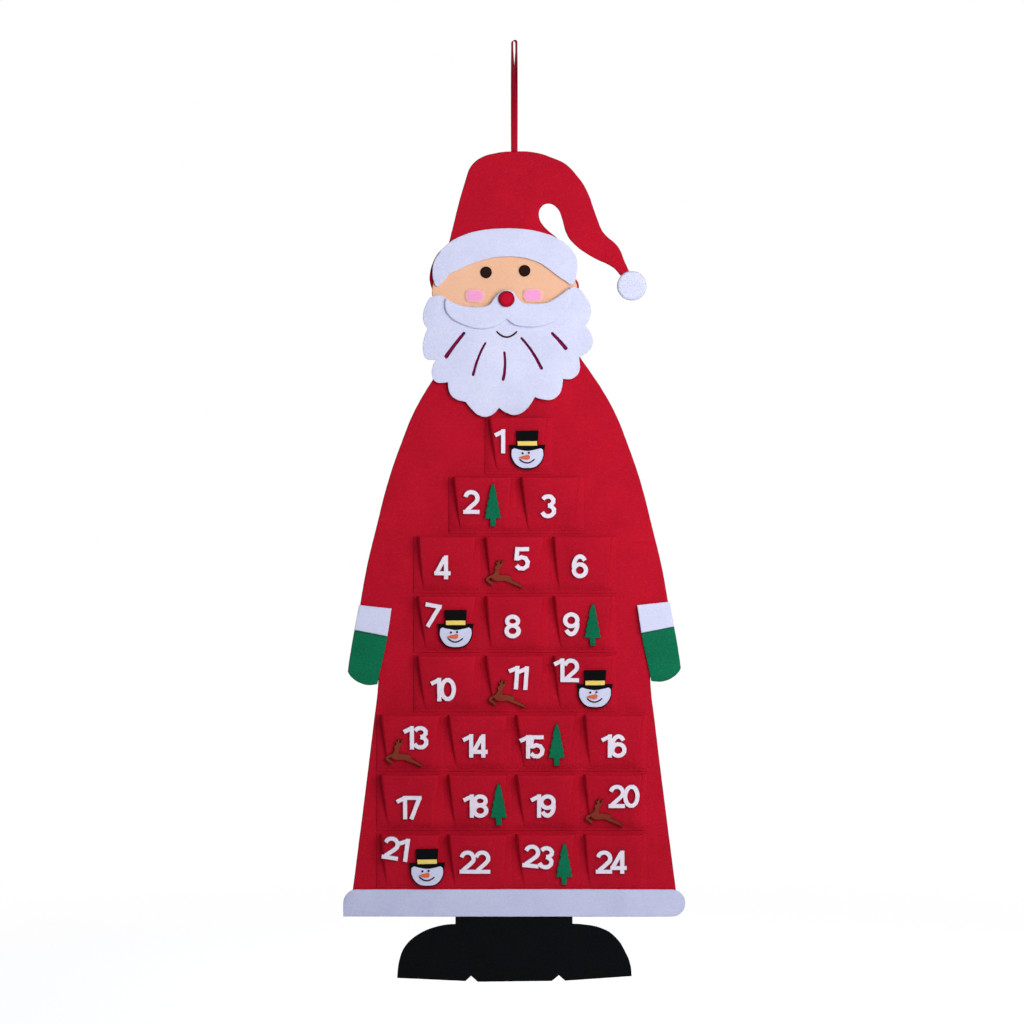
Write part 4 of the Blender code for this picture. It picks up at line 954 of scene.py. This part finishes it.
# The fir trees
# Slim firs, 20 mm wide and 52 mm tall, die-cut from green felt in one piece. They have four tiers of boughs
# with pointed ends, and a short trunk.
TREES = (2, 9, 15, 18, 23)
MOTIF_EDGE = 0.0006
FIR_HALF_SHARES = ((0, 1), (0.15, 0.98), (0.51, 0.71), (0.40, 0.68), (0.71, 0.53), (0.60, 0.50),
                   (0.87, 0.36), (0.75, 0.33), (1, 0.19), (0.33, 0.18), (0.30, 0))


def motif_middle(outlines):
    """Middle of the box round an ornament's outline."""
    return Vector([sum(reach_of(outlines[0], axis)) / 2 for axis in (0, 1)])


fir_shares = list(FIR_HALF_SHARES) + [(-across, up) for across, up in FIR_HALF_SHARES[:0:-1]]
for day in TREES:
    pocket = pockets[day - 1]
    node = "tree_%02d" % day
    outlines, _, low, high = cut_of(node, pocket.place)
    middle = motif_middle(outlines)
    half_width, half_height = [reach_of(outlines[0], axis)[1] - middle[axis] for axis in (0, 1)]
    fir = [middle + Vector((half_width * across, half_height * (2 * up - 1))) for across, up in fir_shares]
    tree = cut_felt("tree_motif_%02d" % day, [fir], low, high, pocket.on_front, green_felt, "green_felt",
                    cell=NUMBER_CELL, edge=MOTIF_EDGE)
    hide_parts(node)

# The reindeer
# Leaping reindeer with two antlers, die-cut from brown felt and glued beside or below some numbers.
REINDEER = (5, 11, 13, 20)
BROWN_SHADES = ("#8E3C2C", "#7A3022", "#A05240", "#54200F")

brown_felt = needle_felt("brown_craft_felt", BROWN_SHADES)
for day in REINDEER:
    pocket = pockets[day - 1]
    felt_for_node("reindeer_motif_%02d" % day, "reindeer_%02d" % day, brown_felt, "brown_felt", None,
                  place=pocket.place, lay=pocket.on_front, cell=NUMBER_CELL, edge=MOTIF_EDGE,
                  carrier=strips[day - 1])

# The snowmen
# A snowman's head: a black felt backing, which is also the hat, with a yellow band, a white face and an
# orange nose glued on, knots of black thread for the eyes, and a smile of black thread.
SNOWMEN = (1, 7, 12, 21)
YELLOW_SHADES = ("#FCE27C", "#F4D468", "#FFEDA6", "#D3A944")
ORANGE_SHADES = ("#F0714A", "#E0603A", "#F69474", "#BF4E30")
SNOW_FACE_HALF = ((0, -0.0216), (0.0088, -0.0204), (0.0152, -0.0151), (0.0189, -0.0066), (0.0186, 0.0008),
                  (0.0158, 0.0026), (0.0090, 0.0008), (0, -0.0006))
HAT_BAND = ((-0.0116, 0.0056), (0.0116, 0.0056), (0.0118, 0.0112), (-0.0118, 0.0112))
CARROT = ((-0.0104, -0.0086), (-0.0060, -0.0101), (0.0005, -0.0110), (0.0028, -0.0098), (0.0030, -0.0066),
          (0.0012, -0.0053), (-0.0050, -0.0067))
SNOW_EYES = ((-0.0056, -0.0033), (0.0018, -0.0028))
SNOW_EYE_RADIUS = 0.0014
SNOW_EYE_STEPS = 10
SNOW_SMILE_MIDDLE = (-0.0004, -0.0104)
SNOW_SMILE_HALF_WIDTH = 0.0092
SNOW_SMILE_SAG = 0.0048
SNOW_THREAD_RADIUS = 0.0009
TRIM_THICKNESS = 0.0012
DETAIL_EDGE = 0.0004

yellow_felt = needle_felt("yellow_craft_felt", YELLOW_SHADES)
orange_felt = needle_felt("orange_craft_felt", ORANGE_SHADES)
snow_face = list(SNOW_FACE_HALF) + [(-x, up) for x, up in SNOW_FACE_HALF[-2:0:-1]]
for day in SNOWMEN:
    pocket = pockets[day - 1]
    node = "snowman_%02d" % day
    snowman = felt_for_node("snowman_motif_%02d" % day, node, black_felt, "black_felt", [strips[day - 1]],
                            place=pocket.place, lay=pocket.on_front, cell=NUMBER_CELL, edge=MOTIF_EDGE)
    outlines, _, _, high = cut_of(node, pocket.place)
    middle = motif_middle(outlines)
    face_front = high + TRIM_THICKNESS
    for name, shape, level, felt, slot in (
            ("snow_face", snow_face, high, white_felt, "white_felt"),
            ("snow_hat_band", HAT_BAND, high, yellow_felt, "white_felt"),
            ("snow_nose", CARROT, face_front, orange_felt, "red_felt")):
        outline = [middle + Vector(point) for point in shape]
        cut_felt("%s_%02d" % (name, day), [outline], level, level + TRIM_THICKNESS, pocket.on_front, felt,
                 slot, cell=NUMBER_CELL, edge=DETAIL_EDGE, carrier=snowman)
    turns = [2 * math.pi * step / SNOW_EYE_STEPS for step in range(SNOW_EYE_STEPS)]
    knot = [Vector((math.cos(turn), math.sin(turn))) * SNOW_EYE_RADIUS for turn in turns]
    eyes = [[middle + Vector(eye) + point for point in knot] for eye in SNOW_EYES]
    cut_felt("snow_eyes_%02d" % day, eyes, face_front, face_front + SNOW_THREAD_RADIUS, pocket.on_front,
             dark_thread, "black_felt", cell=NUMBER_CELL, edge=DETAIL_EDGE, carrier=snowman)
    line = smile_line(middle + Vector(SNOW_SMILE_MIDDLE), SNOW_SMILE_HALF_WIDTH, SNOW_SMILE_SAG,
                      pocket.on_front, face_front)
    thread_piece("snow_smile_%02d" % day, [line], SNOW_THREAD_RADIUS, dark_thread, snowman)

# The ribbon
# A red satin tape, 8 mm wide and woven with firm selvedges, folded over the nail. Its two ends lie on each
# other on the hat's back, where a line of stitches goes round them.
RIBBON_WIDTH = 0.008
RIBBON_THICKNESS = 0.0006
STRAND_GAP = 0.0004
LOOP_DROP = 0.1324
LOOP_INNER_WIDTH = 0.0046
STRAIGHT_TOP = 0.012
STRAIGHT_FOOT = 0.008
STRAND_STEPS = 40
ARC_STEPS = 10
RIBBON_TURN = math.radians(90)
NAIL_TURN = math.radians(16)
TAPE_SIDE_SHARES = (-0.94, -0.5, 0, 0.5, 0.94)
WEFT_WIDTH = 0.0009
WEFT_WANDER = 0.4
SATIN_SHADES = ("#AE0C26", "#93081D")
SATIN_ROUGHNESS = 0.6
SATIN_GLOSS = 0.12
SATIN_RELIEF = 0.00008
TAB_END = 0.03
TAB_START = 0.0012
BOX_INSET = 0.0015


def tape_mesh(name, runs, closed):
    """A mesh of woven tape along runs of points (x, z, turn about the upright), with its width across them.
    The weave layer holds each point's place along and across the tape."""
    tape = bmesh.new()
    weave = tape.verts.layers.float_vector.new("weave")
    section = [(-1, 0)] + [(side, 1) for side in TAPE_SIDE_SHARES] + [(1, 0)]
    section += [(side, -1) for side in reversed(TAPE_SIDE_SHARES)]
    for run in runs:
        rings = []
        length = 0
        for index, (x, z, turn) in enumerate(run):
            before = run[index - 1] if index or closed else run[0]
            after = run[(index + 1) % len(run)] if closed else run[min(index + 1, len(run) - 1)]
            along = Vector((after[0] - before[0], after[1] - before[1])).normalized()
            if index:
                length += math.hypot(x - before[0], z - before[1])
            ring = []
            for side, lift in section:
                point = Vector((x - along.y * lift * RIBBON_THICKNESS / 2, side * RIBBON_WIDTH / 2,
                                z + along.x * lift * RIBBON_THICKNESS / 2))
                point.rotate(Matrix.Rotation(turn, 3, "Z"))
                vertex = tape.verts.new(point)
                vertex[weave] = (length, side * RIBBON_WIDTH / 2, 0)
                ring.append(vertex)
            rings.append(ring)
        bridge(tape, rings + rings[:1] if closed else rings)
        if not closed:
            tape.faces.new(rings[0])
            tape.faces.new(rings[-1][::-1])
    bmesh.ops.recalc_face_normals(tape, faces=tape.faces)
    return mesh_of(name, tape)


def woven_satin(name, shades):
    """Polyester satin tape. Its weft is about 0.15 mm wide, drawn here as 0.9 mm bands so that it shows,
    and gives the eye a soft gloss with fine cross lines."""
    satin = bpy.data.materials.new(name)
    tree = empty_tree(satin)
    weave = add(tree, "Attribute", attribute_name="weave").outputs["Vector"]
    weft = add(tree, "TexWave", {
        "Vector": weave, "Scale": BAND_SCALE / WEFT_WIDTH, "Distortion": WEFT_WANDER,
        "Detail": 1}).outputs["Fac"]
    clouds = add(tree, "TexNoise", {"Vector": weave, "Scale": 1 / FIBRE_LENGTH, "Detail": PATCH_DETAIL})
    depth = add(tree, "Math", {0: weft, 1: clouds}, operation="MULTIPLY")
    bump = add(tree, "Bump", {"Height": weft, "Strength": RELIEF_STRENGTH, "Distance": SATIN_RELIEF})
    surface = add(tree, "BsdfPrincipled", {
        "Base Color": blend(tree, depth, *shades), "Roughness": SATIN_ROUGHNESS, "IOR": FELT_IOR,
        "Specular IOR Level": SATIN_GLOSS, "Normal": bump})
    add(tree, "OutputMaterial", {"Surface": surface})
    return satin


foot_radius = (STRAND_GAP + RIBBON_THICKNESS) / 2
top_radius = (LOOP_INNER_WIDTH + RIBBON_THICKNESS) / 2
arch_z = LOOP_DROP - LOOP_INNER_WIDTH / 2
open_z = LOOP_DROP - STRAIGHT_TOP


def open_share(z):
    """0 at the loop's flat foot, and 1 where it is turned and wide enough for the nail."""
    return min(1, max(0, (z - STRAIGHT_FOOT) / (open_z - STRAIGHT_FOOT)))


strand_marks = [arch_z * step / STRAND_STEPS for step in range(1, STRAND_STEPS)]
strand = [(foot_radius + (top_radius - foot_radius) * open_share(z), z) for z in strand_marks]
turns = [math.radians(180) * step / ARC_STEPS for step in range(ARC_STEPS + 1)]
foot_arc = [(-foot_radius * math.cos(turn), -foot_radius * math.sin(turn)) for turn in turns]
top_arc = [(top_radius * math.cos(turn), arch_z + top_radius * math.sin(turn)) for turn in turns]
route = foot_arc + strand + top_arc + [(-x, z) for x, z in reversed(strand)]
satin = woven_satin("red_satin_ribbon", SATIN_SHADES)
loop_run = [(x, z, RIBBON_TURN + (NAIL_TURN - RIBBON_TURN) * open_share(z)) for x, z in route]
loop_mesh = tape_mesh("satin_loop", [loop_run], True)
loop_mesh.transform(Matrix.Translation((0, 0, -LOOP_DROP)))
loop = put_in_scene("satin_loop", loop_mesh, satin, "loop")
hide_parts("hanging_loop")

_, _, tab_low, _ = cut_of("hat", side=-1)
tab_run = [-TAB_START - (TAB_END - TAB_START) * step / STRAND_STEPS for step in range(STRAND_STEPS + 1)]
tab_mesh = tape_mesh("sewn_ribbon_ends", [[(layer * RIBBON_THICKNESS / 2, z, RIBBON_TURN) for z in tab_run]
                                          for layer in (-1, 1)], False)
tab_mesh.transform(Matrix.Translation((0, -tab_low - RIBBON_THICKNESS, -LOOP_DROP)))
put_in_scene("sewn_ribbon_ends", tab_mesh, satin, carrier=hat)
box_half = RIBBON_WIDTH / 2 - BOX_INSET
box_top, box_foot = tab_run[0] - BOX_INSET - LOOP_DROP, tab_run[-1] + BOX_INSET - LOOP_DROP
box_corners = [Vector((box_half * side, -tab_low, z)) for side, z in (
    (-1, box_top), (1, box_top), (1, box_foot), (-1, box_foot), (-1, box_top))]
box_runs = []
for start, end in zip(box_corners, box_corners[1:]):
    box_runs += stitches([start, end])
thread_piece("ribbon_stitches", box_runs, STITCH_RADIUS, red_thread, hat)
